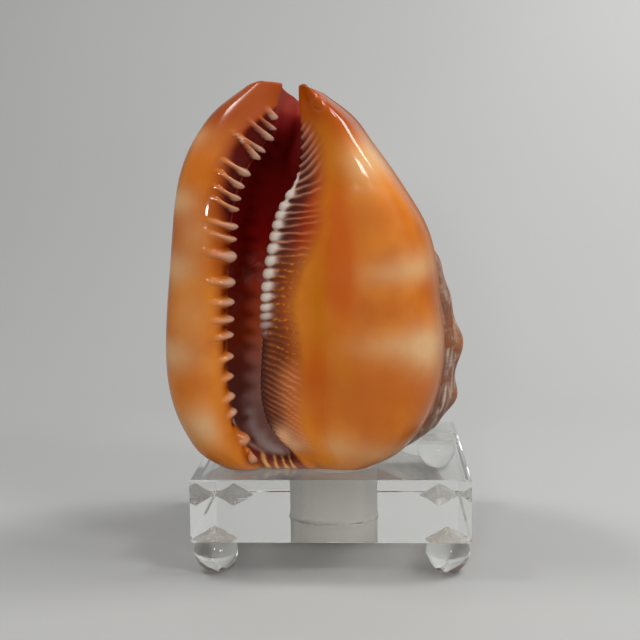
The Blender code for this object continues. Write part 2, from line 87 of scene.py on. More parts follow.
# The camera: its place from the slab's top in millimetres, its pitch down, yaw and roll in degrees, and
# its focal length in the picture's own units, for a picture PICTURE wide.
CAMERA_PLACE = (17.1, -467.5, 109.8)
CAMERA_ANGLES = (7.18, -2.73, 0.66)
FOCUS = 1212.0
PICTURE = 640.0
SENSOR = 36.0

# The pale sheet: half its width, where it starts, where it begins to sweep up, how far and how high.
SHEET_HALF = 1000.0
SHEET_FRONT = -1300.0
SWEEP_FROM = 260.0
SWEEP_RADIUS = 420.0
SHEET_TOP = 760.0
# Lights: name, place and target from the slab's top, width and height in millimetres, and power.
MIDDLE_OF_SHELL = (0, 0, 70)
LIGHTS = [
    ("left_high", (-450, 40, 760), MIDDLE_OF_SHELL, 250, 130, 2.7),
    ("right_high", (334, -118, 760), MIDDLE_OF_SHELL, 130, 60, 0.8),
    ("key", (330, -395, 470), MIDDLE_OF_SHELL, 170, 90, 1.3),
    ("front", (-60, -650, 190), (-20, 0, 50), 52, 38, 1.1),
    ("backdrop", (520, 120, 700), (300, 600, 100), 300, 300, 5.2)
]

# The shell's outlines: (height above the slab, place) in millimetres. A smooth curve runs through them.
LIP_EDGE_X = [
    (0, -40.5), (3.5, -47), (9, -52), (20, -57.4), (34, -60.4), (48, -60.6), (62, -59.6), (85, -57.4),
    (104, -55.2), (116, -51.6), (126, -46), (133, -39.6), (138, -32.4), (141, -28)
]
LIP_INNER_X = [
    (0, -25), (4.5, -28.6), (11.5, -32.4), (22, -35.6), (45, -36.4), (68, -35.5), (90, -33.8), (101, -32),
    (109, -28.5), (116, -23.6), (123, -19.8), (132, -18.4), (141, -16.2)
]
FOLD_EDGE_X = [
    (0, -5.4), (6, -13.4), (12, -20.6), (20, -25.2), (30, -26.6), (50, -25.2), (64, -24.4), (73, -23.2),
    (81, -21.6), (89, -19.7), (96, -17), (104, -12.6), (112, -10.4), (120, -10), (130, -11), (141, -11.4)
]
SHIELD_RIM_X = [
    (0, 14), (3, 22), (7, 27.6), (12, 31.8), (21, 36.8), (34, 40.2), (46, 40.8), (60, 39.4), (77, 37.4),
    (89, 33.8), (100, 27.4), (112, 19.4), (120, 13.6), (128, 7.6), (134, 0.4), (138, -4.4), (141, -7.2)
]
SHIELD_RIM_Y = [(0, -26), (6, -23), (20, -19.5), (44, -18), (77, -18), (100, -17), (120, -16), (141, -17)]
FRONT_Y = [
    (0, -36.5), (6, -38.2), (20, -39.3), (60, -39.5), (90, -38.8), (108, -36.4), (122, -32.4), (133, -28),
    (141, -24)
]
BODY_LEFT_X = [
    (0, -22.4), (3, -31), (7, -38.6), (13, -45), (22, -49.6), (38, -52), (60, -51.6), (80, -48.6),
    (97, -43.4), (110, -36), (119, -29.6), (127, -25.4), (136, -23.4)
]
BODY_RIGHT_X = [
    (0, 21.4), (3, 29), (7, 35.8), (13, 42.4), (22, 46), (34, 48), (48, 46.8), (60, 45.3), (75, 38.9),
    (90, 29.8), (103, 22), (113, 14.2), (121, 8), (128, 3.6), (136, 0.6)
]
BODY_BACK_Y = [
    (0, 21.6), (3, 29), (7, 36), (13, 42.5), (21, 47), (33, 49), (48, 47), (62, 42.4), (76, 35.6),
    (90, 27.4), (103, 18.6), (112, 13), (120, 10), (128, 11), (136, 14.6)
]

# Heights above the slab: the shell's top, the canal's top, where the tops begin to part, and the seat.
SHELL_TOP = 141.0
CANAL_TOP = 134.5
TOP_BLEND_FROM = 112.0
SEAT = GAP
# The spire in the slab's hole, and the point under the lip that the seat bows towards.
SPIRE_DROP = 8.5
SPIRE_RADIUS = HOLE_RADIUS - 2.7
LIP_SEAT = (-21.0, -27.0)
# The wall's thickness at the back, the radius of the top's rim, and the rows up the wall.
WALL = 5.5
RIM_ROUND = 0.9
WALL_ROWS = 360

# The mouth's pocket: share of the depth, place across as a share of the half width, and half width.
MOUTH_STATIONS = [
    (0.06, -0.6, 0.13), (0.22, -0.62, 0.2), (0.44, -0.6, 0.26), (0.66, -0.45, 0.24), (0.82, -0.2, 0.17),
    (0.86, 0.08, 0.12), (0.84, 0.3, 0.07)
]
CANAL_LEAN = 5.0

# Knobs in spiral rows: height at the right side, spread, size, knobs a turn, and their shift.
KNOB_ROWS = [
    (9, 3.4, 2, 14, 0), (21, 6, 3.4, 12, 0), (42.5, 8, 3.8, 11, 0.1), (60, 7.5, 2.6, 11, 0.55),
    (75, 6, 2.4, 12, 0.5), (88, 4.6, 1.2, 13, 0)
]
KNOB_CLIMB = 8.0
KNOB_SHARPNESS = 2.0

# The lip's teeth from the top down, seen from the front: tip x and z, root x and z, half width at the tip
# and along the shaft, and height.
TEETH = [
    (-18.8, 127.3, -23.1, 131.9, 1.1, 1.1, 0.9), (-19.1, 122.9, -24.9, 128.3, 0.8, 0.6, 1.2),
    (-20.3, 119.5, -29.2, 127.6, 1.25, 0.8, 1.6), (-23.7, 115.7, -31.5, 121.6, 1, 0.7, 1.4),
    (-25.5, 113, -30.4, 119.8, 1.2, 0.85, 1.4), (-29.7, 118.8, -34.8, 124.1, 0.8, 0.6, 0.7),
    (-28.8, 107.2, -37.6, 113.4, 1.5, 0.8, 1.7), (-30.5, 102.4, -39.2, 109.3, 1.3, 0.8, 1.6),
    (-31.2, 97.8, -40.4, 104.1, 1.3, 0.75, 1.6), (-31.6, 93.7, -41, 99.9, 1.25, 0.75, 1.6),
    (-32.2, 88.2, -44, 92.2, 1.5, 1, 1.9), (-32.3, 83.4, -44, 88, 1.3, 0.9, 1.7),
    (-32.7, 77.5, -45, 80.6, 2.4, 1.4, 2.1), (-33.7, 68.5, -44, 70.1, 2.1, 1.2, 2),
    (-34.1, 61.5, -43.5, 62.2, 1.75, 1.2, 1.9), (-34.1, 55.4, -43.5, 55.4, 1.6, 1.1, 1.9),
    (-34.5, 49.9, -43, 48.9, 1.5, 1.1, 1.8), (-34.5, 43, -40.5, 40, 1.6, 1.2, 2),
    (-34.8, 35.7, -39.8, 32.8, 1.6, 1.2, 2), (-35.1, 28.2, -39.4, 24.9, 1.6, 1.3, 1.9),
    (-35.1, 22, -37.8, 19, 1.5, 1, 1.6), (-31, 9.2, -34, 14.6, 1.9, 1.5, 2.9),
    (-27.2, 3, -30.2, 8.6, 1.9, 1.5, 2.9)
]
# Ridges on the ramp at the mouth's lower end, in the same way.
RAMP_RIDGES = [
    (-22.4, -0.6, -26.3, 5.8, 1.2, 0.6, 0.9), (-19.1, -0.6, -22.3, 5, 0.8, 0.4, 0.9),
    (-15.4, -0.6, -19.2, 4.4, 1.1, 0.4, 0.9), (-12.6, -0.6, -16.8, 4.8, 0.9, 0.4, 0.9)
]
# The pale streak on the floor inside the mouth's lower end, in the same way, but by x and y.
GREY_STREAK = [(-27, -17, -36, 9, 3.6, 2.6, 0), (-18, -28, -27, -17, 1.8, 3.6, 0)]
# Where the dark between the teeth begins, and where it is full, down the lip's height.
GAP_FROM_X = [
    (0, -30), (8, -32.4), (13.7, -35.1), (17.4, -36.1), (24.9, -37.2), (32.2, -38.2), (39.5, -38.9),
    (46.8, -39.1), (59.5, -39.5), (73.8, -38.9), (88, -39.1), (98.7, -38.9), (105.7, -37.4), (112.8, -36.4),
    (116.3, -35), (119.8, -32.9), (123.3, -30.1), (126.9, -25.9), (129.7, -22.4), (132.2, -19.5), (141, -15)
]
GAP_FULL_X = [
    (0, -28.6), (8, -30.9), (13.7, -34.4), (17.4, -35.4), (24.9, -35.6), (32.2, -36.3), (39.5, -36.9),
    (46.8, -37.1), (59.5, -37), (66.7, -36.5), (73.8, -35.7), (79.2, -35.6), (88, -34.2), (93.3, -35),
    (98.6, -35.3), (105.7, -33.9), (112.7, -32.9), (116.3, -32.2), (119.8, -29.4), (123.3, -28),
    (126.8, -23), (129.7, -20.2), (132.1, -17), (141, -12)
]
# Beads of the white cord on the mouth's inner edge: height and half length.
BEADS = [
    (100, 1.5), (95.8, 1.6), (92.6, 1.6), (89.2, 1.7), (85.1, 2), (80.7, 2.2), (76.3, 2.2), (71.7, 2.2),
    (67, 2.1), (63.1, 1.9), (59.4, 1.7), (56.1, 1.6), (52.8, 1.6), (49, 1.7)
]
CORD_FROM, CORD_TO = 49.5, 108.0
# The folds beside the mouth: the height of a fold's left end and its number from the top.
FOLD_NUMBERS = [
    (-20, 60), (4, 48.5), (50.9, 26), (65.8, 20), (78.1, 15), (90.9, 10), (104.1, 5), (112.6, 2),
    (119.8, 0), (141, -7)
]
# How steeply the folds climb to the right, and how far they reach from their left end, by height.
FOLD_SLANT = [
    (0, -0.75), (15, -0.7), (30, -0.5), (48, -0.28), (60, -0.03), (80, 0.05), (97, 0.08), (105, 0.4),
    (112, 1), (120, 1.25), (141, 1.4)
]
FOLD_REACH = [
    (0, 10), (12, 13), (20, 15.5), (30, 17), (40, 16.5), (50, 14.5), (60, 12), (72, 14), (80, 17),
    (90, 18.5), (100, 14), (112, 10), (120, 8), (128, 5), (141, 3)
]
# Worn oval ring near the top of the shield: x, z and half sizes.
WORN_RING = (-3.4, 132.6, 2.6, 2.6)
# How high or deep the relief is.
GAP_DEPTH = 1.3
FOLD_HEIGHT = 1.1
BEAD_HEIGHT = 1.6
RIM_LINE_HEIGHT = 0.4
RING_DEPTH = 0.3
WHORL_HEIGHT = 0.35
WHORLS = 4.5

# Controls round the shell: the first of each stretch, and how many there are.
BODY_FROM = 9
SHIELD_FROM = 21
FOLDS_FROM = 28
MOUTH_FROM = 32
CONTROLS = 48
# The lip's controls: share of its width from the edge, shift in x, and y behind the front: plain, by the
# lip's depth and by the slope of its top.
LIP_CONTROLS = [
    (1, 0, 0, 6, 2.5), (0.86, 0, 0, 1.6, 2.8), (0.64, 0, -0.4, 0, 1.1), (0.38, 0, -0.2, 0, 0),
    (0.16, 0, 0, 2.6, 0), (0, -0.4, 0, 8.5, 0), (0, -0.2, 0, 14.5, 0), (0.14, 0, 0, 20, 0)
]
# The shield's controls: share of its width from the rim, shift in x, share of its depth, and shift in y.
SHIELD_CONTROLS = [
    (0, 0.6, 1, 5.5), (0, 1.2, 1, 1.6), (0, 0.4, 0.78, 0), (0.07, 0, 0.36, 0), (0.18, 0, 0.1, 0),
    (0.33, 0, 0, -0.3), (0.48, 0, 0, 0.2)
]
# The hollow's controls: share of the shield's width from the mouth, and y behind the front: plain and by
# the hollow's depth.
FOLD_CONTROLS = [(0.38, 0.4, 2.4), (0.26, 1, 5), (0.14, 1.6, 6.2), (0.04, 2.6, 5.6)]
# The back's superellipse: its power, the angles that it runs between, the share of the depth that lies
# before its middle, and how far it reaches forward of that.
BODY_POWER = 0.93
BODY_ANGLES = (186.0, -4.0)
BODY_MIDDLE = 0.58
BODY_FORWARD = 0.6
# Heights over which the lip's top slopes back, and over which the mouth narrows to the canal.
LIP_SLOPE = (96.0, 122.0)
CANAL_BLEND = (84.0, 122.0)
MOUTH_OPEN_AT = 15.0
SLIT_BEHIND = 9.0
CANAL_DEPTH = 0.95
# Where each stretch ends at the top, as (control, height).
TOP_HEIGHTS = [
    (0, SHELL_TOP - 0.7), (4, SHELL_TOP + 0.4), (8, CANAL_TOP + 4), (12, CANAL_TOP + 2), (16, CANAL_TOP),
    (19, CANAL_TOP - 0.5), (22, CANAL_TOP + 3), (25, SHELL_TOP - 2.5), (29, SHELL_TOP - 1),
    (31, SHELL_TOP - 1.2), (33, SHELL_TOP - 2.5), (36, CANAL_TOP), (40, CANAL_TOP + 0.5),
    (43, CANAL_TOP + 3.5), (46, SHELL_TOP - 0.8), (CONTROLS, SHELL_TOP - 0.7)
]
# Where the controls meet the spire, in degrees round it, and how far the seat bows under the lip.
SPIRE_ANGLES = [
    (0, 240), (5, 216), (8, 190), (15, 90), (20, 4), (22, -22), (28, -72), (MOUTH_FROM, -104),
    (CONTROLS, -120)
]
SEAT_BOW = [(0, 0.6), (2, 1), (6.5, 1), (8, 0.6), (9, 0), (44, 0), (CONTROLS, 0.6)]
SPIRE_SWELL = 0.9
SPIRE_POINT = 1.4

# Columns are counted in controls, and those of the mouth also backwards from 0. A stretch of columns is
# given by its first, its last and the softness of its ends.
TEETH_ON = (-0.9, 4.0, 0.45)
RAMP_ON = (-15.4, -0.6, 0.4)
STREAK_ON = (-15.2, -0.6, 0.5)
MOUTH_ON = (-14.9, -0.9, 0.45)
SHOULDER_ON = (-1.5, 3.2, 0.8)
CREASE_ON = (24.6, 28.0, 0.4)
RIM_SATIN_ON = (21.3, 22.9, 0.4)
FOLDS_ON = (26.0, 32.4, 0.5)
BODY_ON = (9.3, 21.6, 0.45)
KNOBS_ON = (9.2, 20.6, 0.9)
WORN_ON = (21.8, 28.0, 0.4)
LIP_COLOUR_ON = (1.6, 9.0, 0.9)
# The lip's outer side, which gets painted shade where it turns away from the light.
LIP_SHADE_ON = (4.9, 8.6, 0.7)
SHIELD_COLOUR_ON = (21.4, 28.4, 0.7)
# The shield's rim, which gets painted shade at its edge.
RIM_SHADE_ON = (21.4, 23.4, 0.7)
HOLLOW_ON = (25.4, 32.4, 0.6)
PAD_ON = (28.0, 32.6, 0.4)
RIM_LINE_COLUMN = 21.9
CORD_COLUMN = 31.75

# Colour patches: x, z, half width, half height and strength.
LIP_PALE = [
    (-51, 122, 7, 5, 0.7), (-56, 98.5, 8, 5, 0.9), (-57, 74.5, 9, 6, 0.85), (-58, 43, 9, 6, 0.8),
    (-46, 17, 9, 7, 0.9), (-40, 40, 4, 3.5, 0.35), (-48, 87, 7, 7, 0.35), (-50, 58, 8, 9, 0.3)
]
LIP_DEEP = [
    (-44, 110, 10, 8, 0.7), (-45, 60, 10, 6, 0.3), (-50, 31, 9, 5, 0.4), (-36, 132, 12, 5, 0.6),
    (-38, 5, 12, 4, 0.5)
]
SHIELD_PALE = [
    (14, 112, 8, 8, 0.9), (22, 72, 15, 4.5, 0.4), (33, 75, 9, 5.5, 0.55), (12, 46, 14, 4.5, 0.12),
    (26, 46, 13, 5.5, 0.5), (36, 44, 8, 9, 0.85), (22, 5, 14, 5, 0.6), (2, 9, 10, 5, 0.45)
]
SHIELD_DEEP = [
    (4, 131, 9, 6, 0.7), (18, 92, 10, 8, 0.6), (22, 60, 14, 4.5, 0.3), (22, 28, 14, 11, 0.8),
    (8, 32, 9, 12, 0.7), (34, 30, 6, 8, 0.5)
]
EMBER = [
    (4, 84, 6, 14, 1), (4, 66, 6, 14, 1), (-5, 36, 5, 12, 0.9), (-4, 20, 5, 6, 0.5), (3, 98, 4, 8, 0.6)
]
GOLD = [
    (-4.5, 62, 2.6, 18, 1), (0, 50, 4, 6, 0.6), (4, 38, 5, 9, 0.5), (-2, 120, 4, 8, 0.5),
    (2, 106, 3.5, 10, 0.7)
]
PAD = [(-18, 12, 3.6, 3.6, 1), (-13, 9, 4, 3, 0.7)]


def smooth(points, at):
    """The natural cubic spline through (place, value) points, read at `at`."""
    place, value = np.array(points, float).T
    step = np.diff(place)
    slope = np.diff(value) / step
    count = len(place)
    system = np.eye(count)
    right = np.zeros(count)
    inner = np.arange(1, count - 1)
    system[inner, inner - 1] = step[:-1]
    system[inner, inner] = 2 * (step[:-1] + step[1:])
    system[inner, inner + 1] = step[1:]
    right[inner] = 6 * (slope[1:] - slope[:-1])
    bend = np.linalg.solve(system, right)
    at = np.clip(at, place[0], place[-1])
    cell = np.clip(np.searchsorted(place, at) - 1, 0, count - 2)
    width = step[cell]
    after = at - place[cell]
    before = width - after
    return ((bend[cell] * before ** 3 + bend[cell + 1] * after ** 3) / (6 * width)
            + (value[cell] / width - bend[cell] * width / 6) * before
            + (value[cell + 1] / width - bend[cell + 1] * width / 6) * after)


def ease(value, low, high):
    """0 below low, 1 above high, and a smooth step between: t squared times (3 - 2 t)."""
    share = np.clip((value - low) / (high - low), 0.0, 1.0)
    return share * share * (3 - 2 * share)


def between(value, low, high, soft):
    """1 from low to high, fading to 0 over soft on each side."""
    return ease(value, low - soft, low + soft) * (1 - ease(value, high - soft, high + soft))


def lattice_noise(u, v, seed):
    """Noise from -1 to 1: random numbers on a unit lattice of u and v, joined by smooth steps."""
    size = 64
    value = np.random.default_rng(seed).uniform(-1, 1, (size, size))
    low_u, low_v = np.floor(u).astype(int), np.floor(v).astype(int)
    part_u, part_v = ease(u - low_u, 0, 1), ease(v - low_v, 0, 1)
    near = value[low_u % size, low_v % size] * (1 - part_u) + value[(low_u + 1) % size, low_v % size] * part_u
    far_v = (low_v + 1) % size
    far = value[low_u % size, far_v] * (1 - part_u) + value[(low_u + 1) % size, far_v] * part_u
    return near * (1 - part_v) + far * part_v


def stripe(columns, stretch):
    """1 on a stretch of columns, fading at both ends, as a row that multiplies a grid."""
    return between(columns, *stretch)[None, :]


def lip_controls(height):
    """The lip: from the row of teeth over its broad front and round its edge to the body.

    Its depth goes from a third to the full as its width goes from 6 to 24 mm. Its last control lies between
    the edge and the body's left side.
    """
    edge = smooth(LIP_EDGE_X, height)
    width = smooth(LIP_INNER_X, height) - edge
    front = smooth(FRONT_Y, height)
    deep = 0.35 + 0.65 * ease(width, 6.0, 24.0)
    slope = ease(height, *LIP_SLOPE)
    points = [(edge + share * width + aside, front + behind + by_depth * deep + by_slope * slope)
              for share, aside, behind, by_depth, by_slope in LIP_CONTROLS]
    root_x = 0.35 * edge + 0.65 * smooth(BODY_LEFT_X, height) + 1.0
    root_depth = np.minimum(28.0, 0.6 * (smooth(BODY_BACK_Y, height) - front)) * deep
    return points + [(root_x, front + 0.75 * root_depth + 2.0)]


def body_controls(height):
    """The back: a superellipse, x and y as powers of cosine and sine, from the lip to the right side."""
    left = smooth(BODY_LEFT_X, height)
    right = smooth(BODY_RIGHT_X, height)
    back = smooth(BODY_BACK_Y, height)
    front = smooth(FRONT_Y, height)
    middle_x = (left + right) / 2
    middle_y = back - BODY_MIDDLE * (back - front)
    points = []
    for angle in np.radians(np.linspace(*BODY_ANGLES, SHIELD_FROM - BODY_FROM)):
        across = math.copysign(abs(math.cos(angle)) ** BODY_POWER, math.cos(angle))
        along = math.copysign(abs(math.sin(angle)) ** BODY_POWER, math.sin(angle))
        reach = back - middle_y if along > 0 else BODY_FORWARD * (middle_y - front)
        points.append((middle_x + (right - left) / 2 * across, middle_y + reach * along))
    return points


def shield_controls(height):
    """The shield: from the groove behind its rim, over the rim and across to the amber hollow."""
    rim_x = smooth(SHIELD_RIM_X, height)
    front = smooth(FRONT_Y, height)
    width = rim_x - smooth(FOLD_EDGE_X, height)
    deep = smooth(SHIELD_RIM_Y, height) - front
    return [(rim_x - share * width + aside, front + depth * deep + behind)
            for share, aside, depth, behind in SHIELD_CONTROLS]


def fold_controls(height):
    """The hollow beside the mouth, which carries the folds, up to the mouth's inner edge.

    It deepens over the lowest 22 mm, and towards the top it loses more than half of its depth.
    """
    fold = smooth(FOLD_EDGE_X, height)
    front = smooth(FRONT_Y, height)
    width = smooth(SHIELD_RIM_X, height) - fold
    hollow = ease(height, 2.0, 22.0) * (0.4 + 0.6 * (1 - ease(height, 96.0, 132.0)))
    return [(fold + share * width, front + behind + by_hollow * hollow)
            for share, behind, by_hollow in FOLD_CONTROLS]


def mouth_controls(height):
    """The mouth: a pocket bent round a middle line, with its half width to each side of that line.

    Low down the line follows MOUTH_STATIONS round inside the body. Higher up it goes over to the straight
    canal, and near the seat the pocket closes to the slit between the lip and the folds. The first and the
    last control lie just inside the mouth's two edges.
    """
    inner = smooth(LIP_INNER_X, height)
    fold = smooth(FOLD_EDGE_X, height)
    front = smooth(FRONT_Y, height)
    left = smooth(BODY_LEFT_X, height)
    right = smooth(BODY_RIGHT_X, height)
    half_slit = (fold - inner) / 2
    slit_x = (fold + inner) / 2
    slit_y = front + SLIT_BEHIND
    bent = 1 - ease(height, *CANAL_BLEND)
    room = (right - left) / 2
    middle_x = (left + right) / 2
    deep = smooth(BODY_BACK_Y, height) - WALL - slit_y
    open_share = ease(height, SEAT, MOUTH_OPEN_AT)
    line = []
    for number, (share, bent_x, half) in enumerate(MOUTH_STATIONS):
        curved = middle_x + bent_x * room
        straight_share = CANAL_DEPTH * number / (len(MOUTH_STATIONS) - 1)
        start = ease(share, 0.0, 0.25)
        x = slit_x + bent * (curved - slit_x) * start + (1 - bent) * CANAL_LEAN * straight_share
        y = slit_y + deep * (bent * share + (1 - bent) * straight_share)
        narrow = (half_slit + 1.5) * (1.0 - 0.5 * ease(share, 0.7, 0.9))
        wide = np.maximum(half * room, (half_slit + 2.0) * (1 - ease(share, 0.1, 0.5)))
        line.append((x, y, bent * wide + (1 - bent) * narrow))
    right_side, left_side = [], []
    for number, (x, y, half) in enumerate(line):
        x_before, y_before = line[max(number - 1, 0)][:2]
        x_after, y_after = line[min(number + 1, len(line) - 1)][:2]
        run_x, run_y = x_after - x_before, y_after - y_before
        length = np.hypot(run_x, run_y) + 1e-9
        right_side.append((x + half * run_y / length, y - half * run_x / length))
        left_side.append((x - half * run_y / length, y + half * run_x / length))
    first = (fold + 0.2, front + 6.5)
    last = (inner - 1.2, front + 9.5 + 1.5 * ease(height, *LIP_SLOPE))
    edge = [first] + right_side + left_side[::-1] + [last]
    points = []
    for number, (x, y) in enumerate(edge):
        flat_x = fold + (inner - fold) * (number + 1) / (len(edge) + 1)
        flat_y = front + 2.0
        points.append((flat_x + (x - flat_x) * open_share, flat_y + (y - flat_y) * open_share))
    return points


def at_controls(marks):
    """A value for each control, in straight lines between (control, value) marks."""
    number, value = np.array(marks, float).T
    return np.interp(np.arange(CONTROLS), number, value)


def section_controls(height):
    """The control points of the loop, for heights given by row and control: arrays of x and of y."""
    across, along = np.zeros_like(height), np.zeros_like(height)
    ends = (0, BODY_FROM, SHIELD_FROM, FOLDS_FROM, MOUTH_FROM, CONTROLS)
    makers = (lip_controls, body_controls, shield_controls, fold_controls, mouth_controls)
    for first, last, maker in zip(ends, ends[1:], makers):
        for control in range(first, last):
            x, y = maker(height[:, control])[control - first]
            across[:, control], along[:, control] = x, y
    return across, along


def row_heights(rows):
    """Heights of the controls for row places: -1 to 0 the spire, 0 to 1 the seat, 1 to 2 the wall."""
    level = SEAT + (SHELL_TOP - SEAT) * np.clip(rows - 1, 0, 1)[:, None]
    above = level - TOP_BLEND_FROM
    stretch = (at_controls(TOP_HEIGHTS) - TOP_BLEND_FROM) / (SHELL_TOP - TOP_BLEND_FROM)
    return np.where(above > 0, TOP_BLEND_FROM + above * stretch, level)


def spline_weights(columns):
    """The matrix that turns controls into points at the columns: the closed uniform cubic B-spline."""
    cell = np.floor(columns).astype(int)
    part = columns - cell
    weights = [(1 - part) ** 3 / 6, (3 * part ** 3 - 6 * part ** 2 + 4) / 6,
               (-3 * part ** 3 + 3 * part ** 2 + 3 * part + 1) / 6, part ** 3 / 6]
    matrix = np.zeros((len(columns), CONTROLS))
    for offset, weight in zip((-1, 0, 1, 2), weights):
        np.add.at(matrix, (np.arange(len(columns)), (cell + offset) % CONTROLS), weight)
    return matrix


def plain_surface(rows, columns):
    """Points of the shell without relief, as rows by columns by xyz.

    On the wall each control goes to its place at its height. On the seat the place moves in a line, bent
    under the lip, from the control to the spire's rim. The spire is a cone whose radius and height go as
    powers of the way from its tip.
    """
    height = row_heights(rows)
    across, along = section_controls(height)
    turn = np.radians(at_controls(SPIRE_ANGLES))
    cone = np.clip(rows + 1, 0, 1)[:, None]
    spire_x = SPIRE_RADIUS * cone ** SPIRE_SWELL * np.cos(turn)
    spire_y = SPIRE_RADIUS * cone ** SPIRE_SWELL * np.sin(turn)
    seat = np.clip(rows, 0, 1)[:, None]
    bow = 2 * seat * (1 - seat) * at_controls(SEAT_BOW)
    across = spire_x + (across - spire_x) * seat + bow * (LIP_SEAT[0] - (across + spire_x) / 2)
    along = spire_y + (along - spire_y) * seat + bow * (LIP_SEAT[1] - (along + spire_y) / 2)
    height = height - (SPIRE_DROP + SEAT) * (1 - cone ** SPIRE_POINT)
    weights = spline_weights(columns)
    return np.stack([across @ weights.T, along @ weights.T, height @ weights.T], axis=-1)


def curve_value(marks, at):
    """A value read along straight lines between (place, value) marks."""
    place, value = np.array(marks, float).T
    return np.interp(at, place, value)


def rods(x, z, shapes, margin=0.0):
    """Tapered rods with round backs, seen from the front.

    A rod is as wide as its shaft over a little more than half of its way, and widens smoothly to its tip.
    Its back is a dome, (1 - (distance / half width) squared) to the power 0.7, and rises from the root to
    three quarters of its way. Returned are the height of the highest back over each point, the highest
    dome, the highest of domes a little wider and wider still by the margin, and how far along its rod the
    point lies.
    """
    lift, dome, near, along = (np.zeros_like(x) for _ in range(4))
    for tip_x, tip_z, root_x, root_z, half, shaft, size in shapes:
        length = math.hypot(tip_x - root_x, tip_z - root_z)
        reach = 1 - 0.7 * half / length
        run_x, run_z = (tip_x - root_x) * reach, (tip_z - root_z) * reach
        share = np.clip(((x - root_x) * run_x + (z - root_z) * run_z) / (run_x ** 2 + run_z ** 2), 0, 1)
        away = np.hypot(x - root_x - share * run_x, z - root_z - share * run_z)
        wide = shaft + (half - shaft) * ease(share, 0.55, 1.0)
        back = np.clip(1 - (away / wide) ** 2, 0, None) ** 0.7
        lift = np.maximum(lift, size * back * ease(share, -0.1, 0.75))
        along = np.where(back > dome, share, along)
        dome = np.maximum(dome, back)
        near = np.maximum(near, np.clip(1 - (away / (1.15 * wide + margin)) ** 2, 0, None) ** 0.8)
    return lift, dome, near, along


def fold_numbers(x, z):
    """The number of the fold at each point: whole at a crest. Its lines climb right, waver and fork."""
    edge = smooth(FOLD_EDGE_X, z)
    right = x - edge
    level = z - curve_value(FOLD_SLANT, z) * right
    level = level + 0.5 * lattice_noise(x / 3.2, z / 2.6, 5) * ease(right, 1.5, 6.0)
    number = curve_value(FOLD_NUMBERS, level)
    fork = 0.55 * lattice_noise(x / 7.0, z / 6.0, 11) * ease(right, 4.0, 11.0) * between(z, 60.0, 112.0, 6.0)
    return number + fork


def knobs(points, columns):
    """How far the knobs raise the body: each spiral row is a bell ridge that swells at each knob."""
    turn = (np.arctan2(points[..., 1] - 2.0, points[..., 0] + 3.0) + 1.0) % (2 * math.pi) - 1.0
    height = points[..., 2]
    total = np.zeros_like(height)
    for level, spread, size, count, shift in KNOB_ROWS:
        middle = level + KNOB_CLIMB * turn / math.pi
        ridge = np.exp(-((height - middle) / spread) ** 2)
        swell = (0.5 + 0.5 * np.cos(count * turn + 2 * math.pi * shift)) ** KNOB_SHARPNESS
        total += size * ridge * (0.35 + 0.65 * swell)
    return total * stripe(columns, KNOBS_ON) * ease(height, 2.0, 10.0)


def blobs(x, z, spots):
    """The sum of soft round spots, exp of minus the squared distance over the half sizes, up to 1."""
    total = np.zeros_like(x)
    for middle_x, middle_z, half_x, half_z, strength in spots:
        total += strength * np.exp(-((x - middle_x) / half_x) ** 2 - ((z - middle_z) / half_z) ** 2)
    return np.clip(total, 0, 1)


def teeth_relief(x, z, wrapped):
    """The lip's teeth and the gaps between them: how far they stand out, and their masks.

    A gap sinks and darkens with the way from where it begins to where it is full. High up its colour comes
    earlier, and the lowest teeth are less pale.
    """
    on_lip = stripe(wrapped, TEETH_ON)
    lift, dome, near, along = rods(x, z, TEETH, 0.9 * (1 - ease(z, 82.0, 92.0)))
    start = curve_value(GAP_FROM_X, z)
    into = (x - start) / (curve_value(GAP_FULL_X, z) - start)
    inside = (ease(wrapped, -1.8, -0.6) * (1 - ease(wrapped, 3.4, 4.4)))[None, :]
    gaps = between(z, 2.0, 131.0, 2.0) * (1 - near) * inside
    paler = 0.35 * ease(along, 0.0, 0.6) + 0.65 * ease(along, 0.45, 0.9)
    early = 0.5 * ease(z, 86.0, 96.0)
    masks = {"tooth": ease(dome, 0.05, 0.6) * paler * on_lip * (0.5 + 0.5 * ease(z, 12.0, 19.0)),
             "gap": ease(into + early, -1.3, 0.7) * gaps,
             "gap_deep": ease(into + early, 0.1, 1.5) * gaps}
    return lift * on_lip - GAP_DEPTH * ease(into, -0.2, 1.2) * gaps, masks


def ramp_relief(points, wrapped):
    """The ridges on the ramp at the mouth's lower end, and the masks of the ramp and of the mouth."""
    x, y, z = np.moveaxis(points, -1, 0)
    lift, dome, _, _ = rods(x, z, RAMP_RIDGES)
    depth = y - smooth(FRONT_Y, z)
    ramp = stripe(wrapped, RAMP_ON) * (1 - ease(z, 7.5, 12.0)) * (1 - ease(depth, 8.0, 14.0))
    streak = rods(x, y, GREY_STREAK)[1] * stripe(wrapped, STREAK_ON)
    masks = {"ramp": ramp, "ramp_ridge": ease(dome, 0.1, 0.8) * ramp,
             "grey_streak": streak * (1 - ease(z, 18.0, 32.0)),
             "mouth": stripe(wrapped, MOUTH_ON) * np.ones_like(z)}
    return lift * ramp, masks


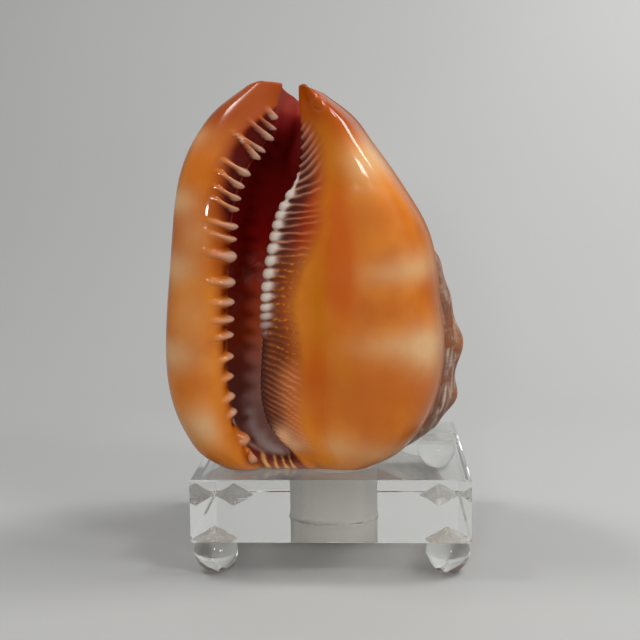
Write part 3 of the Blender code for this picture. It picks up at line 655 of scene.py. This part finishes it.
def fold_relief(x, z, columns):
    """The folds beside the mouth: a cosine wave over their numbers, flat low down and sharp to the right."""
    right = x - smooth(FOLD_EDGE_X, z)
    number = fold_numbers(x, z)
    wave = (0.5 + 0.5 * np.cos(2 * math.pi * number)) ** (1.4 + 1.4 * ease(right, 2.0, 8.0))
    reach = curve_value(FOLD_REACH, z)
    on_folds = stripe(columns, FOLDS_ON) * (1 - ease(right, reach - 5.0, reach + 1.0))
    on_folds = on_folds * between(z, 8.0, 125.0, 4.0)
    high = 0.26 + 0.74 * ease(z, 72.0, 86.0)
    end = 1 - ease(right, reach - 10.0, reach)
    masks = {"fold": on_folds,
             "crest": wave ** 1.5 * on_folds * (0.72 + 0.28 * lattice_noise(x / 3.0, number, 17)),
             "fold_end": ease(right, reach - 9.0, reach - 1.0) * on_folds,
             # Painted shade where the low folds run down into the mouth, on gaps and crests alike.
             "fold_foot_shade": (1 - ease(right, 1.5, 4.5)) * between(z, 6.0, 49.0, 3.0) * on_folds,
             "fold_right": ease(right, 4.0, 12.0)}
    return (wave - 0.3) * FOLD_HEIGHT * high * on_folds * end, masks


def cord_relief(x, z, columns):
    """The white cord of beads on the mouth's inner edge: its relief, how much it covers, and its masks.

    Each bead is a dome, (1 - (distance / half length) squared) to the power 0.6. Higher up the beads join.
    """
    bead_z = z - 0.12 * (x - smooth(FOLD_EDGE_X, z))
    bead = np.zeros_like(z)
    for middle, half in BEADS:
        bead = np.maximum(bead, np.clip(1 - ((bead_z - middle) / (0.98 * half)) ** 2, 0, None) ** 0.6)
    on_cord = between(z, CORD_FROM, CORD_TO, 2.5) * (0.7 + 0.3 * (1 - ease(z, 96.0, 108.0)))
    to_left = np.clip(columns - CORD_COLUMN, 0, None)[None, :] / 0.78
    to_right = np.clip(CORD_COLUMN - columns, 0, None)[None, :] / (0.4 + 0.42 * bead)
    across = np.exp(-to_left ** 3 - to_right ** 2.2) * on_cord
    joined = ease(z, 74.0, 96.0)
    cord = across * (0.15 + 0.55 * joined + (BEAD_HEIGHT - 0.6 * joined) * bead)
    return cord, across, {"cord": ease(across, 0.05, 0.75), "bead": np.maximum(bead, 0.75 * joined)}


def shell_relief(points, rows, columns):
    """How far each point stands out along its normal, in millimetres, and the masks that colour it."""
    x, z = points[..., 0], points[..., 2]
    everywhere = np.ones_like(z)
    wrapped = (columns + CONTROLS / 2) % CONTROLS - CONTROLS / 2
    teeth, tooth_masks = teeth_relief(x, z, wrapped)
    ramp, ramp_masks = ramp_relief(points, wrapped)
    folds, fold_masks = fold_relief(x, z, columns)
    cord, on_cord, cord_masks = cord_relief(x, z, columns)
    knob = knobs(points, columns)
    rim_line = np.exp(-((columns - RIM_LINE_COLUMN) / 0.32) ** 2)[None, :] * between(z, 4.0, 134.0, 4.0)
    ring_x, ring_z, ring_wide, ring_high = WORN_RING
    ring_away = np.hypot((x - ring_x) / ring_wide, (z - ring_z) / ring_high)
    ring = np.exp(-((ring_away - 1) / 0.16) ** 2) * stripe(columns, WORN_ON)
    shoulder = stripe(wrapped, SHOULDER_ON) * ease(z, 106.0, 118.0)
    crease = stripe(columns, CREASE_ON) * (1 - ease(z, 98.0, 106.0))
    masks = {**tooth_masks, **ramp_masks, **fold_masks, **cord_masks,
             "knob": ease(knob, 0.6, 3.2), "rim_line": rim_line, "worn": ring,
             "satin": shoulder + crease + 0.8 * stripe(columns, RIM_SATIN_ON),
             "body": stripe(columns, BODY_ON) * everywhere,
             "under": (1 - ease(rows, 0.97, 1.03))[:, None] * everywhere}
    relief = teeth + ramp + folds * (1 - on_cord) + cord + knob
    relief = relief + RIM_LINE_HEIGHT * rim_line - RING_DEPTH * ring
    whorls = WHORL_HEIGHT * np.cos(2 * math.pi * WHORLS * np.clip(-rows, 0, 1)) * (rows < 0)
    return relief * ease(rows, 1.0, 1.02)[:, None] + whorls[:, None] * everywhere, masks


def colour_masks(points, columns):
    """Masks for the broad colours: pale bands, deep orange, amber, and brown that is painted shade on the
    lip's outer side and the shield's rim, by place on the front.
    """
    x, z = points[..., 0], points[..., 2]
    wrapped = (columns + CONTROLS / 2) % CONTROLS - CONTROLS / 2
    lip = stripe(wrapped, LIP_COLOUR_ON)
    shield = stripe(columns, SHIELD_COLOUR_ON)
    hollow = stripe(columns, HOLLOW_ON)
    outer_x = np.where(wrapped[None, :] > 5.0, smooth(LIP_EDGE_X, z) - 0.4, x)
    pale = np.clip(lip * blobs(outer_x, z, LIP_PALE) + shield * blobs(x, z, SHIELD_PALE), 0, 1)
    # The brown mask is painted shade: the lip's outer side and the shield's rim darken where they turn from
    # the light.
    lip_edge_shade = stripe(wrapped, LIP_SHADE_ON) * (1 - pale) * ease(z, 6.0, 16.0)
    rim_edge_shade = 0.7 * stripe(columns, RIM_SHADE_ON) * ease(z, 4.0, 40.0)
    return {"pale": pale,
            "deep": np.clip(lip * blobs(x, z, LIP_DEEP) + shield * blobs(x, z, SHIELD_DEEP), 0, 1),
            "brown": lip_edge_shade + rim_edge_shade,
            "top": ease(z, 112.0, 130.0) * (1 - 0.7 * pale),
            "ember": hollow * blobs(x, z, EMBER),
            "gold": hollow * blobs(x, z, GOLD),
            "amber": hollow * between(z, 38.0, 78.0, 5.0) * (1 - ease(x, -9.0, -3.0)),
            "pad": blobs(x, z, PAD) * stripe(columns, PAD_ON)}


def in_metres(points):
    """Places in millimetres from the middle of the slab's top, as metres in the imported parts' frame."""
    return ((np.array(points) + MIDDLE) * MM).tolist()


def put_object(name, data):
    """A new object in the scene."""
    made = bpy.data.objects.new(name, data)
    bpy.context.scene.collection.objects.link(made)
    return made


def put_mesh(name, points, faces, masks=None):
    """A mesh object in metres from points in millimetres, with a float attribute for each mask."""
    mesh = bpy.data.meshes.new(name)
    mesh.from_pydata(in_metres(points), [], faces)
    for label, values in (masks or {}).items():
        layer = mesh.attributes.new(label, "FLOAT", "POINT")
        layer.data.foreach_set("value", np.ascontiguousarray(values, np.float32))
    mesh.shade_smooth()
    return put_object(name, mesh)


def row_places():
    """Row places up the shell. The last rows follow the quarter circle of the rounded rim."""
    spire = np.linspace(-1, 0, 24, endpoint=False)
    seat = np.linspace(0, 1, 6, endpoint=False)
    rim = RIM_ROUND / (SHELL_TOP - SEAT)
    wall = np.linspace(1, 2 - rim, WALL_ROWS, endpoint=False)
    round_top = 2 - rim * (1 - np.sin(np.linspace(0, math.pi / 2, 8)))
    return np.concatenate([spire, seat, wall, round_top])


def column_places():
    """Columns round the shell, closer together where it has teeth, folds, beads and the rim."""
    stretches = [(0, 2.25, 8), (2.25, 9, 3.5), (9, 21, 7), (21, 24, 6), (24, 26, 4), (26, 31, 6),
                 (31, 33.25, 9), (33.25, 47, 2.5), (47, 48, 8)]
    places = [np.arange(first, last - 1e-6, 1 / steps) for first, last, steps in stretches]
    return np.concatenate(places)


def rim_faces(points, outer, inner):
    """Triangles that close the top between the outer and inner rims, which share their ends.

    Each step goes along the rim that gives the shorter new side.
    """
    faces = []
    a = b = 0
    while a < len(outer) - 1 or b < len(inner) - 1:
        to_outer = np.inf if a == len(outer) - 1 else np.linalg.norm(points[outer[a + 1]] - points[inner[b]])
        to_inner = np.inf if b == len(inner) - 1 else np.linalg.norm(points[outer[a]] - points[inner[b + 1]])
        if to_outer < to_inner:
            faces.append((outer[a], inner[b], outer[a + 1]))
            a += 1
        else:
            faces.append((outer[a], inner[b], inner[b + 1]))
            b += 1
    return [face for face in faces if len(set(face)) == 3]


def make_shell():
    """The shell: its plain surface on a grid, pushed out by its relief, with its tip and top closed."""
    rows, columns = row_places(), column_places()
    small = 1e-3
    grid = plain_surface(rows[1:], columns)
    up = plain_surface(rows[1:] + small, columns) - plain_surface(rows[1:] - small, columns)
    along = plain_surface(rows[1:], columns + small) - plain_surface(rows[1:], columns - small)
    normal = np.cross(up, along)
    normal /= np.maximum(np.linalg.norm(normal, axis=-1, keepdims=True), 1e-12)
    relief, masks = shell_relief(grid, rows[1:], columns)
    masks.update(colour_masks(grid, columns))
    from_top = np.clip((2 - rows[1:]) * (SHELL_TOP - SEAT), 0, RIM_ROUND)
    inset = RIM_ROUND - np.sqrt(RIM_ROUND ** 2 - (RIM_ROUND - from_top) ** 2)
    moved = grid + normal * (relief - inset[:, None])[..., None]

    count_rows, count_columns = moved.shape[:2]
    points = np.concatenate([plain_surface(rows[:1], columns)[0].mean(axis=0)[None, :], moved.reshape(-1, 3)])
    masks = {name: np.concatenate([values[:1, 0], values.reshape(-1)]) for name, values in masks.items()}
    number = 1 + np.arange(count_rows * count_columns).reshape(count_rows, count_columns)
    after = np.roll(number, -1, axis=1)
    quads = np.stack([number[:-1], number[1:], after[1:], after[:-1]], axis=-1).reshape(-1, 4)
    tip = [(0, int(a), int(b)) for a, b in zip(number[0], after[0])]
    turn = int(np.argmin(np.abs(columns - MOUTH_FROM)))
    rim = number[-1].tolist()
    top = rim_faces(points, rim[:turn + 1], [rim[0]] + rim[:turn - 1:-1])
    return put_mesh("shell_grown", points, tip + quads.tolist() + top, masks)


def paint(red, green, blue):
    """A colour from its values of 0 to 255 as seen, as Blender's linear values."""
    seen = np.array([red, green, blue]) / 255.0
    linear = np.where(seen <= 0.04045, seen / 12.92, ((seen + 0.055) / 1.055) ** 2.4)
    return (*linear.tolist(), 1.0)


class Finish:
    """A material's nodes. Each method adds nodes and gives the output of the last."""

    def __init__(self, name):
        self.material = bpy.data.materials.new(name)
        self.material.use_nodes = True
        self.tree = self.material.node_tree
        self.inputs = self.tree.nodes["Principled BSDF"].inputs
        self.place = self.node("TexCoord", {}, "Object")

    def feed(self, socket, value):
        """Links an output to a socket, or sets the socket to a plain value."""
        if isinstance(value, bpy.types.NodeSocket):
            self.tree.links.new(value, socket)
        else:
            socket.default_value = value

    def node(self, kind, inputs, output=0, **settings):
        """A node with its settings and with its inputs fed, by their names or numbers."""
        node = self.tree.nodes.new("ShaderNode" + kind)
        for name, value in settings.items():
            setattr(node, name, value)
        for name, value in inputs.items():
            self.feed(node.inputs[name], value)
        return node.outputs[output]

    def mask(self, name):
        """The values that put_mesh stored under a name."""
        return self.node("Attribute", {}, "Fac", attribute_name=name)

    def sums(self, kind, first, second, clamp=False):
        """Two values added, subtracted or multiplied, held from 0 to 1 where clamp is set."""
        return self.node("Math", {0: first, 1: second}, operation=kind, use_clamp=clamp)

    def stretched(self, x, y, z, turn=(0, 0, 0)):
        """Places scaled to x, y and z cells a metre, after a turn in degrees."""
        turn = [math.radians(angle) for angle in turn]
        return self.node("Mapping", {"Vector": self.place, "Scale": (x, y, z), "Rotation": turn})

    def noise(self, size, detail=2.0, vector=None, rough=0.5, twist=0.0):
        """Noise from 0 to 1 with lumps of a size in millimetres, or of one cell where a vector is given."""
        scale = 1.0 if vector else 1.0 / (size * MM)
        return self.node("TexNoise", {"Vector": vector or self.place, "Scale": scale, "Detail": detail,
                                      "Roughness": rough, "Distortion": twist})

    def steps(self, factor, low, high):
        """0 below low and 1 above high, with a smooth step between."""
        return self.node("MapRange", {"Value": factor, "From Min": low, "From Max": high},
                         interpolation_type="SMOOTHSTEP")

    def heights(self, low, high):
        """0 below a height over the slab's top in millimetres and 1 above another, in a smooth step."""
        height = self.node("SeparateXYZ", {0: self.place}, "Z")
        return self.steps(height, (SLAB_TOP + low) * MM, (SLAB_TOP + high) * MM)

    def ramp(self, factor, stops):
        """A colour read along stops of (place, colour)."""
        colour = self.node("ValToRGB", {0: factor})
        line = colour.node.color_ramp.elements
        while len(line) < len(stops):
            line.new(0.5)
        for element, (place, shade) in zip(line, stops):
            element.position = place
            element.color = shade
        return colour

    def mix(self, first, second, factor):
        """The first colour going over to the second as the factor goes from 0 to 1."""
        return self.node("Mix", {0: factor, 6: first, 7: second}, 2, data_type="RGBA")

    def lay(self, under, *layers):
        """Colours laid over another in turn, each as (colour, mask, how strongly the mask counts)."""
        for colour, name, strength in layers:
            under = self.mix(under, colour, self.sums("MULTIPLY", self.mask(name), strength))
        return under

    def bump(self, height, depth, under=None):
        """A normal bent by a height of 0 to 1, which stands for a depth in millimetres."""
        inputs = {"Strength": 1.0, "Distance": depth * MM, "Height": height}
        if under:
            inputs["Normal"] = under
        return self.node("Bump", inputs)

    def finish(self, **values):
        """Feeds the shader's inputs, named with _ for each space, and gives the material."""
        for name, value in values.items():
            self.feed(self.inputs[name.replace("_", " ")], value)
        return self.material


# The glazed front.
LIGHT_ORANGE = paint(214, 126, 36)
DEEP_ORANGE = paint(188, 96, 22)
TOP_ORANGE = paint(156, 66, 4)
CREAM = paint(214, 172, 124)
EMBER_RED = paint(196, 86, 2)
GOLDEN = paint(198, 116, 8)
# Painted shade for the lip's outer side and the shield's rim.
EDGE_SHADE_BROWN = paint(126, 68, 30)
PAD_CREAM = paint(214, 158, 112)
RIM_BROWN = paint(128, 78, 52)
WORN_BROWN = paint(170, 84, 44)
# The folds, their gaps first.
AMBER = paint(92, 34, 2)
OXBLOOD = paint(56, 5, 2)
BLOOD_RED = paint(146, 36, 3)
# Painted shade on the folds' gaps where they turn into the mouth.
FOOT_SHADE = paint(46, 8, 3)
LOW_GAP = paint(74, 20, 4)
LOW_GAP_END = paint(172, 90, 34)
LOW_CREST = paint(152, 78, 36)
LOW_CREST_END = paint(212, 150, 106)
ROSE_ORANGE = paint(192, 98, 46)
ROSE_WHITE = paint(182, 120, 98)
AMBER_CREST = paint(142, 66, 8)
AMBER_SPECK = paint(204, 120, 24)
# Painted shade on the folds' crests where they turn into the mouth.
FOOT_CREST_SHADE = paint(84, 34, 14)
# The teeth with their gaps, and the cord of beads.
GAP_BROWN = paint(146, 60, 8)
DARK_RED = paint(84, 10, 3)
TOOTH_CREAM = paint(206, 164, 140)
SHELL_WHITE = paint(206, 190, 178)
MAUVE = paint(132, 98, 92)
CORD_SHADOW = paint(112, 74, 62)
# The dull back and the underside.
BACK_STREAKS = [
    (0.34, paint(104, 64, 44)), (0.46, paint(132, 94, 74)), (0.54, paint(150, 122, 106)),
    (0.68, paint(186, 166, 148))
]
BACK_PATCH = paint(128, 72, 40)
KNOB_BROWN = paint(150, 92, 48)
UNDER_TAN = paint(176, 120, 92)
# Inside the mouth, from the seat to MOUTH_COLOURS_TOP.
MOUTH_COLOURS = [
    (0, paint(200, 160, 148)), (0.1, paint(206, 142, 126)), (0.23, paint(240, 122, 66)),
    (0.44, paint(214, 82, 50)), (0.66, paint(160, 14, 6)), (0.93, paint(120, 5, 2)),
    (0.996, paint(126, 5, 3)), (1, paint(144, 46, 32))
]
MOUTH_COLOURS_TOP = 134.0
MIST_ROSE = paint(196, 150, 142)
STREAK_WHITE = paint(238, 226, 222)
RAMP_RED = paint(116, 36, 26)
RIDGE_GOLD = paint(222, 166, 92)
# Heights over which the folds turn from brown to red, and over which the cord turns white.
RED_FOLDS = (72, 84)
WHITE_CORD = (49, 62)
# The clear pieces and the surroundings.
CLEAR_TINT = paint(254, 255, 253)
MILKY_TINT = paint(228, 224, 216)
PAPER_LIGHT = paint(174, 174, 172)
PAPER_DARK = paint(169, 169, 167)
SKY_GREY = paint(226, 228, 230)
SKY_STRENGTH = 0.3

# Roughness: of the bare glaze, and what each mask and the fine noise add.
GLAZE_ROUGH = 0.07
ROUGHER = {"body": 0.4, "mouth": 0.55, "fold": 0.6, "satin": 0.6, "gap_deep": 0.5}
ROUGH_NOISE = 0.03
THREAD_DEPTH = 0.5
GLAZE_DEPTH = 0.05


def fold_colours(made, upper):
    """The colours of the folds' gaps and crests: brown low down, red above, and amber between, with painted
    shade where they turn into the mouth.
    """
    mix = made.mix
    right = made.mask("fold_right")
    gap = mix(mix(LOW_GAP, LOW_GAP_END, right), mix(OXBLOOD, BLOOD_RED, right), upper)
    # The last layer of each is painted shade where the folds turn into the mouth.
    gap = made.lay(gap, (AMBER, "amber", 1), (EMBER_RED, "fold_end", 0.7), (FOOT_SHADE, "fold_foot_shade", 1))
    crest = mix(mix(LOW_CREST, LOW_CREST_END, right), mix(ROSE_WHITE, ROSE_ORANGE, right), upper)
    amber_crest = mix(AMBER_CREST, AMBER_SPECK, made.steps(made.noise(1.3, 2), 0.5, 0.62))
    return gap, made.lay(crest, (amber_crest, "amber", 1), (FOOT_CREST_SHADE, "fold_foot_shade", 1))


def front_colour(made, upper):
    """The front: cloudy orange with pale bands and painted shade at its outer edges, then the folds, the
    cord, the gaps and the teeth.
    """
    mix, noise, steps = made.mix, made.noise, made.steps
    front = mix(DEEP_ORANGE, LIGHT_ORANGE, steps(noise(26, 3), 0.3, 0.68))
    front = made.lay(front, (DEEP_ORANGE, "deep", 1), (TOP_ORANGE, "top", 1))
    grain = made.sums("ADD", 0.7, made.sums("MULTIPLY", noise(5, 3), 0.4))
    front = mix(front, CREAM, made.sums("MULTIPLY", made.mask("pale"), grain, True))
    gap, crest = fold_colours(made, upper)
    cord = mix(MAUVE, SHELL_WHITE, made.heights(*WHITE_CORD))
    cord = mix(mix(cord, CORD_SHADOW, 0.7), cord, steps(made.mask("bead"), 0.2, 0.9))
    # The brown layer is painted shade on the lip's outer side and on the shield's rim.
    return made.lay(front, (GOLDEN, "gold", 0.85), (EMBER_RED, "ember", 0.85), (EDGE_SHADE_BROWN, "brown", 0.75),
                    (gap, "fold", 0.97), (crest, "crest", 1.15), (PAD_CREAM, "pad", 0.95),
                    (cord, "cord", 1), (GAP_BROWN, "gap", 0.95), (DARK_RED, "gap_deep", 1),
                    (TOOTH_CREAM, "tooth", 1))


def back_colour(made):
    """The dull back: streaks drawn out upwards, brown patches, and browner knobs."""
    streak = made.noise(1, 3, made.stretched(260, 260, 40), 0.6, 1.2)
    patch = made.steps(made.noise(9, 3, None, 0.6), 0.5, 0.66)
    back = made.mix(made.ramp(streak, BACK_STREAKS), BACK_PATCH, patch)
    return made.lay(back, (KNOB_BROWN, "knob", 0.7))


def mouth_colour(made, upper):
    """Inside the mouth: near white through orange to dark red, with pale mist low down, and the ramp."""
    inside = made.ramp(made.heights(0, MOUTH_COLOURS_TOP), MOUTH_COLOURS)
    wisps = made.steps(made.noise(10, 4, None, 0.6, 1.5), 0.45, 0.65)
    low = made.sums("SUBTRACT", 0.36, upper, True)
    inside = made.mix(inside, MIST_ROSE, made.sums("MULTIPLY", wisps, low))
    ramp = made.mix(RAMP_RED, RIDGE_GOLD, made.mask("ramp_ridge"))
    return made.lay(inside, (STREAK_WHITE, "grey_streak", 0.95), (ramp, "ramp", 1))


def shell_finish():
    """Glazed orange with pale bands, dark gaps between pale teeth, and a rougher streaked back."""
    made = Finish("glazed_shell")
    upper = made.heights(*RED_FOLDS)
    colour = made.lay(front_colour(made, upper), (back_colour(made), "body", 1),
                      (RIM_BROWN, "rim_line", 0.8), (mouth_colour(made, upper), "mouth", 1),
                      (UNDER_TAN, "under", 1), (WORN_BROWN, "worn", 0.6))
    rough = GLAZE_ROUGH
    for name, more in ROUGHER.items():
        rough = made.sums("ADD", rough, made.sums("MULTIPLY", made.mask(name), more), True)
    rough = made.sums("ADD", rough, made.sums("MULTIPLY", made.noise(3, 2), ROUGH_NOISE))
    threads = made.noise(1, 2, made.stretched(60, 60, 700, (8, 0, 0)), 0.5)
    growth = made.noise(1, 2, made.stretched(500, 500, 30), 0.5)
    rugged = made.sums("MULTIPLY", made.sums("ADD", threads, growth), made.mask("body"))
    normal = made.bump(made.noise(7, 2), GLAZE_DEPTH, made.bump(rugged, THREAD_DEPTH))
    return made.finish(Base_Color=colour, Roughness=rough, Normal=normal, Specular_IOR_Level=0.24,
                       Subsurface_Weight=0.03, Subsurface_Radius=(1.0, 0.4, 0.2),
                       Subsurface_Scale=2.5 * MM)


def clear_finish(name, rough, index, bump_depth=0.0, grain=1.0, clear=1.0):
    """Clear acrylic: polished, or drilled with a bump of small lumps and only a share of it clear.

    The bump's depth and the grain of its lumps are in millimetres.
    """
    made = Finish(name)
    tint = CLEAR_TINT if clear == 1.0 else MILKY_TINT
    if bump_depth:
        lumps = made.noise(grain, 3)
        roughness = made.sums("ADD", rough, made.sums("MULTIPLY", lumps, 0.2))
        made.finish(Normal=made.bump(lumps, bump_depth))
    else:
        roughness = made.sums("MULTIPLY", made.noise(12, 2), rough)
    return made.finish(Base_Color=tint, Transmission_Weight=clear, IOR=index, Roughness=roughness)


def box_block(side, thickness, chamfer):
    """Points and quads of a square block with narrow chamfers, its top at 0, as rings from top to bottom."""
    half = side / 2
    rings = [(half - chamfer, 0), (half, -chamfer), (half, chamfer - thickness), (half - chamfer, -thickness)]
    corners = np.array([(-1, -1), (1, -1), (1, 1), (-1, 1)])
    points = np.concatenate([np.column_stack([corners * reach, np.full(4, z)]) for reach, z in rings])
    faces = [[0, 1, 2, 3], [15, 14, 13, 12]]
    for ring in range(3):
        for corner in range(4):
            a, b = ring * 4 + corner, ring * 4 + (corner + 1) % 4
            faces.append([a, a + 4, b + 4, b])
    return points, faces


def turned(profile, sides, wobble=None):
    """Points and faces of a profile of (radius, height) turned round the z axis, its ends closed.

    Each point lies at radius times (cosine, sine) of its angle. A wobble adds to the radius by angle and
    place along the profile.
    """
    radius, height = np.array(profile, float).T
    angle = np.linspace(0, 2 * math.pi, sides, endpoint=False)
    reach = np.repeat(radius[:, None], sides, axis=1)
    if wobble is not None:
        reach = reach + wobble(angle[None, :], height[:, None])
    level = np.repeat(height[:, None], sides, axis=1)
    points = np.stack([reach * np.cos(angle), reach * np.sin(angle), level], axis=-1)
    number = np.arange(len(profile) * sides).reshape(len(profile), sides)
    after = np.roll(number, -1, axis=1)
    quads = np.stack([number[:-1], after[:-1], after[1:], number[1:]], axis=-1).reshape(-1, 4)
    ends = [number[0][::-1].tolist(), number[-1].tolist()]
    return points.reshape(-1, 3), quads.tolist() + ends


def bore_wobble(angle, height):
    """The drill's marks: fine waves, and a ragged ring of chips just above the hole's lower end."""
    chips_height = -CHIPS_DROP + CHIPS_WAVER * lattice_noise(angle * 3.0, np.zeros_like(angle), 21)
    chips = np.exp(-((height - chips_height) / CHIPS_SPREAD) ** 2)
    ragged = 0.55 + 0.45 * lattice_noise(angle * 22.0, height * 1.6, 22)
    return CHIPS_DEPTH * chips * ragged + 0.05 * lattice_noise(angle * 40.0, height * 0.5, 23)


def pocket_wobble(angle, height):
    """The ragged wall that the drill left: lumps of about a millimetre, and finer ones on them."""
    lumps = 0.35 * lattice_noise(angle * 5.1, height * 1.4, 31)
    return lumps + 0.18 * lattice_noise(angle * 12.7, height * 3.1, 32)


def make_cuts():
    """What is drilled from the slab, each with the number of its finish: the hole and the four pockets."""
    levels = np.linspace(0, -SLAB_THICKNESS, HOLE_ROWS)
    heights = np.concatenate([[CUT_PAST], levels, [-SLAB_THICKNESS - CUT_PAST]])
    hole = [(HOLE_RADIUS, height) for height in heights[::-1]]
    cuts = [(put_mesh("bore_cut", *turned(hole, HOLE_SIDES, bore_wobble)), 1)]
    spread = math.tan(POCKET_HALF_ANGLE)
    tip = -SLAB_THICKNESS + POCKET_DEPTH
    pocket = [(drop * spread, tip - drop) for drop in np.linspace(POCKET_DEPTH + 1, 0.15, POCKET_ROWS)]
    for side_x in (-1, 1):
        for side_y in (-1, 1):
            points, faces = turned(pocket, POCKET_SIDES, pocket_wobble)
            points = points + [side_x * FOOT_REACH, side_y * FOOT_REACH, 0]
            cuts.append((put_mesh("pocket_cut", points, faces), 2))
    return cuts


def make_slab():
    """The clear slab: a chamfered block, less what is drilled from it. Its polished faces stay flat."""
    finishes = [clear_finish("polished_acrylic", 0.02, SLAB_INDEX),
                clear_finish("drilled_acrylic", 0.6, SLAB_INDEX, bump_depth=0.1, grain=0.6, clear=0.1),
                clear_finish("scarred_acrylic", 0.5, SLAB_INDEX, bump_depth=0.3, grain=0.8, clear=0.35)]
    block = put_mesh("clear_slab_cut", *box_block(SLAB_SIDE, SLAB_THICKNESS, SLAB_CHAMFER))
    cuts = make_cuts()
    for piece, number in [(block, 0)] + cuts:
        for finish in finishes:
            piece.data.materials.append(finish)
        piece.data.polygons.foreach_set("material_index", [number] * len(piece.data.polygons))
        piece.data.shade_flat()
    for number, (cut, _) in enumerate(cuts):
        drill = block.modifiers.new(f"drill_{number}", "BOOLEAN")
        drill.operation = "DIFFERENCE"
        drill.solver = "EXACT"
        drill.object = cut
    mesh = bpy.data.meshes.new_from_object(block.evaluated_get(bpy.context.evaluated_depsgraph_get()))
    mesh.set_sharp_from_angle(angle=SHARP_SLAB_EDGE)
    mesh.polygons.foreach_set("use_smooth", [face.material_index != 0 for face in mesh.polygons])
    for piece in [block] + [cut for cut, _ in cuts]:
        bpy.data.objects.remove(piece)
    return put_object("clear_slab", mesh)


def make_ball(name, x, y, finish):
    """A clear ball turned from an arc, from its small flat underneath to its top."""
    low = math.asin(-FOOT_FLAT_DROP / FOOT_RADIUS)
    angles = np.linspace(low, math.radians(89.0), BALL_ROWS)
    profile = [(FOOT_RADIUS * math.cos(angle), FOOT_RADIUS * math.sin(angle)) for angle in angles]
    points, faces = turned(profile, BALL_SIDES)
    points = points + [x, y, -SLAB_THICKNESS - FOOT_DROP]
    ball = put_mesh(name, points, faces)
    ball.data.materials.append(finish)
    ball.data.set_sharp_from_angle(angle=SHARP_BALL_EDGE)
    return ball


def make_camera():
    """The camera, where the photograph was taken from, turned about its own view line last."""
    pitch, yaw, roll = (math.radians(angle) for angle in CAMERA_ANGLES)
    ahead = np.array([math.sin(yaw) * math.cos(pitch), math.cos(yaw) * math.cos(pitch), -math.sin(pitch)])
    level = np.array([math.cos(yaw), -math.sin(yaw), 0.0])
    drop = np.cross(ahead, level)
    right = level * math.cos(roll) + drop * math.sin(roll)
    down = -level * math.sin(roll) + drop * math.cos(roll)
    lens = bpy.data.cameras.new("camera")
    lens.sensor_width = SENSOR
    lens.lens = SENSOR * FOCUS / PICTURE
    turn = np.eye(4)
    turn[:3, :3] = np.column_stack([right, -down, -ahead])
    turn[:3, 3] = in_metres(CAMERA_PLACE)
    camera = put_object("camera", lens)
    camera.matrix_world = Matrix(turn.tolist())
    bpy.context.scene.camera = camera


def make_light(name, place, target, wide, high, power):
    """A soft rectangular light, in millimetres from the slab's top, facing its target."""
    data = bpy.data.lights.new(name, "AREA")
    data.shape = "RECTANGLE"
    data.size = wide * MM
    data.size_y = high * MM
    data.energy = power
    light = put_object(name, data)
    place, target = Vector(in_metres(place)), Vector(in_metres(target))
    light.location = place
    light.rotation_euler = (target - place).to_track_quat("-Z", "Y").to_euler()


def make_stage():
    """A pale sheet that lies under the stand and sweeps up behind it in a quarter circle."""
    across = np.linspace(-SHEET_HALF, SHEET_HALF, 13)
    bend = np.linspace(0, math.pi / 2, 24)
    flat = [(SHEET_FRONT, 0), (-600, 0), (-200, 0), (200, 0)]
    back = [(SWEEP_FROM + SWEEP_RADIUS * math.sin(a), SWEEP_RADIUS * (1 - math.cos(a))) for a in bend]
    line = np.array(flat + back + [(SWEEP_FROM + SWEEP_RADIUS, SHEET_TOP)])
    points = np.stack([np.repeat(across[None, :], len(line), 0), np.repeat(line[:, :1], len(across), 1),
                       np.repeat(line[:, 1:], len(across), 1) - SLAB_TOP], axis=-1).reshape(-1, 3)
    number = np.arange(len(points)).reshape(len(line), len(across))
    quads = np.stack([number[:-1, :-1], number[:-1, 1:], number[1:, 1:], number[1:, :-1]], -1).reshape(-1, 4)
    sheet = put_mesh("pale_sheet", points, quads.tolist())
    made = Finish("pale_paper")
    tint = made.mix(PAPER_LIGHT, PAPER_DARK, made.noise(220, 2))
    grain = made.bump(made.noise(0.8, 2), 0.01)
    sheet.data.materials.append(made.finish(Base_Color=tint, Roughness=0.6, Normal=grain))


def make_lights():
    """A soft even studio light: grey from all round, lights above, right and in front, one on the sheet."""
    world = bpy.data.worlds.new("studio")
    world.use_nodes = True
    sky = world.node_tree.nodes["Background"]
    sky.inputs["Color"].default_value = SKY_GREY
    sky.inputs["Strength"].default_value = SKY_STRENGTH
    bpy.context.scene.world = world
    for light in LIGHTS:
        make_light(*light)


make_camera()
shell = make_shell()
shell.data.materials.append(shell_finish())
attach(shell, "root")
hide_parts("shell")

slab = make_slab()
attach(slab, "root")
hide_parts("base_slab")

ball_finish = clear_finish("clear_ball", 0.02, BALL_INDEX)
for row, side_y in (("front", -1), ("back", 1)):
    for column, side_x in (("left", -1), ("right", 1)):
        ball = make_ball(f"ball_{row}_{column}", side_x * FOOT_REACH, side_y * FOOT_REACH, ball_finish)
        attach(ball, "root")
        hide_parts(f"foot_{row}_{column}")

make_stage()
make_lights()
bpy.context.scene.view_settings.view_transform = "Standard"
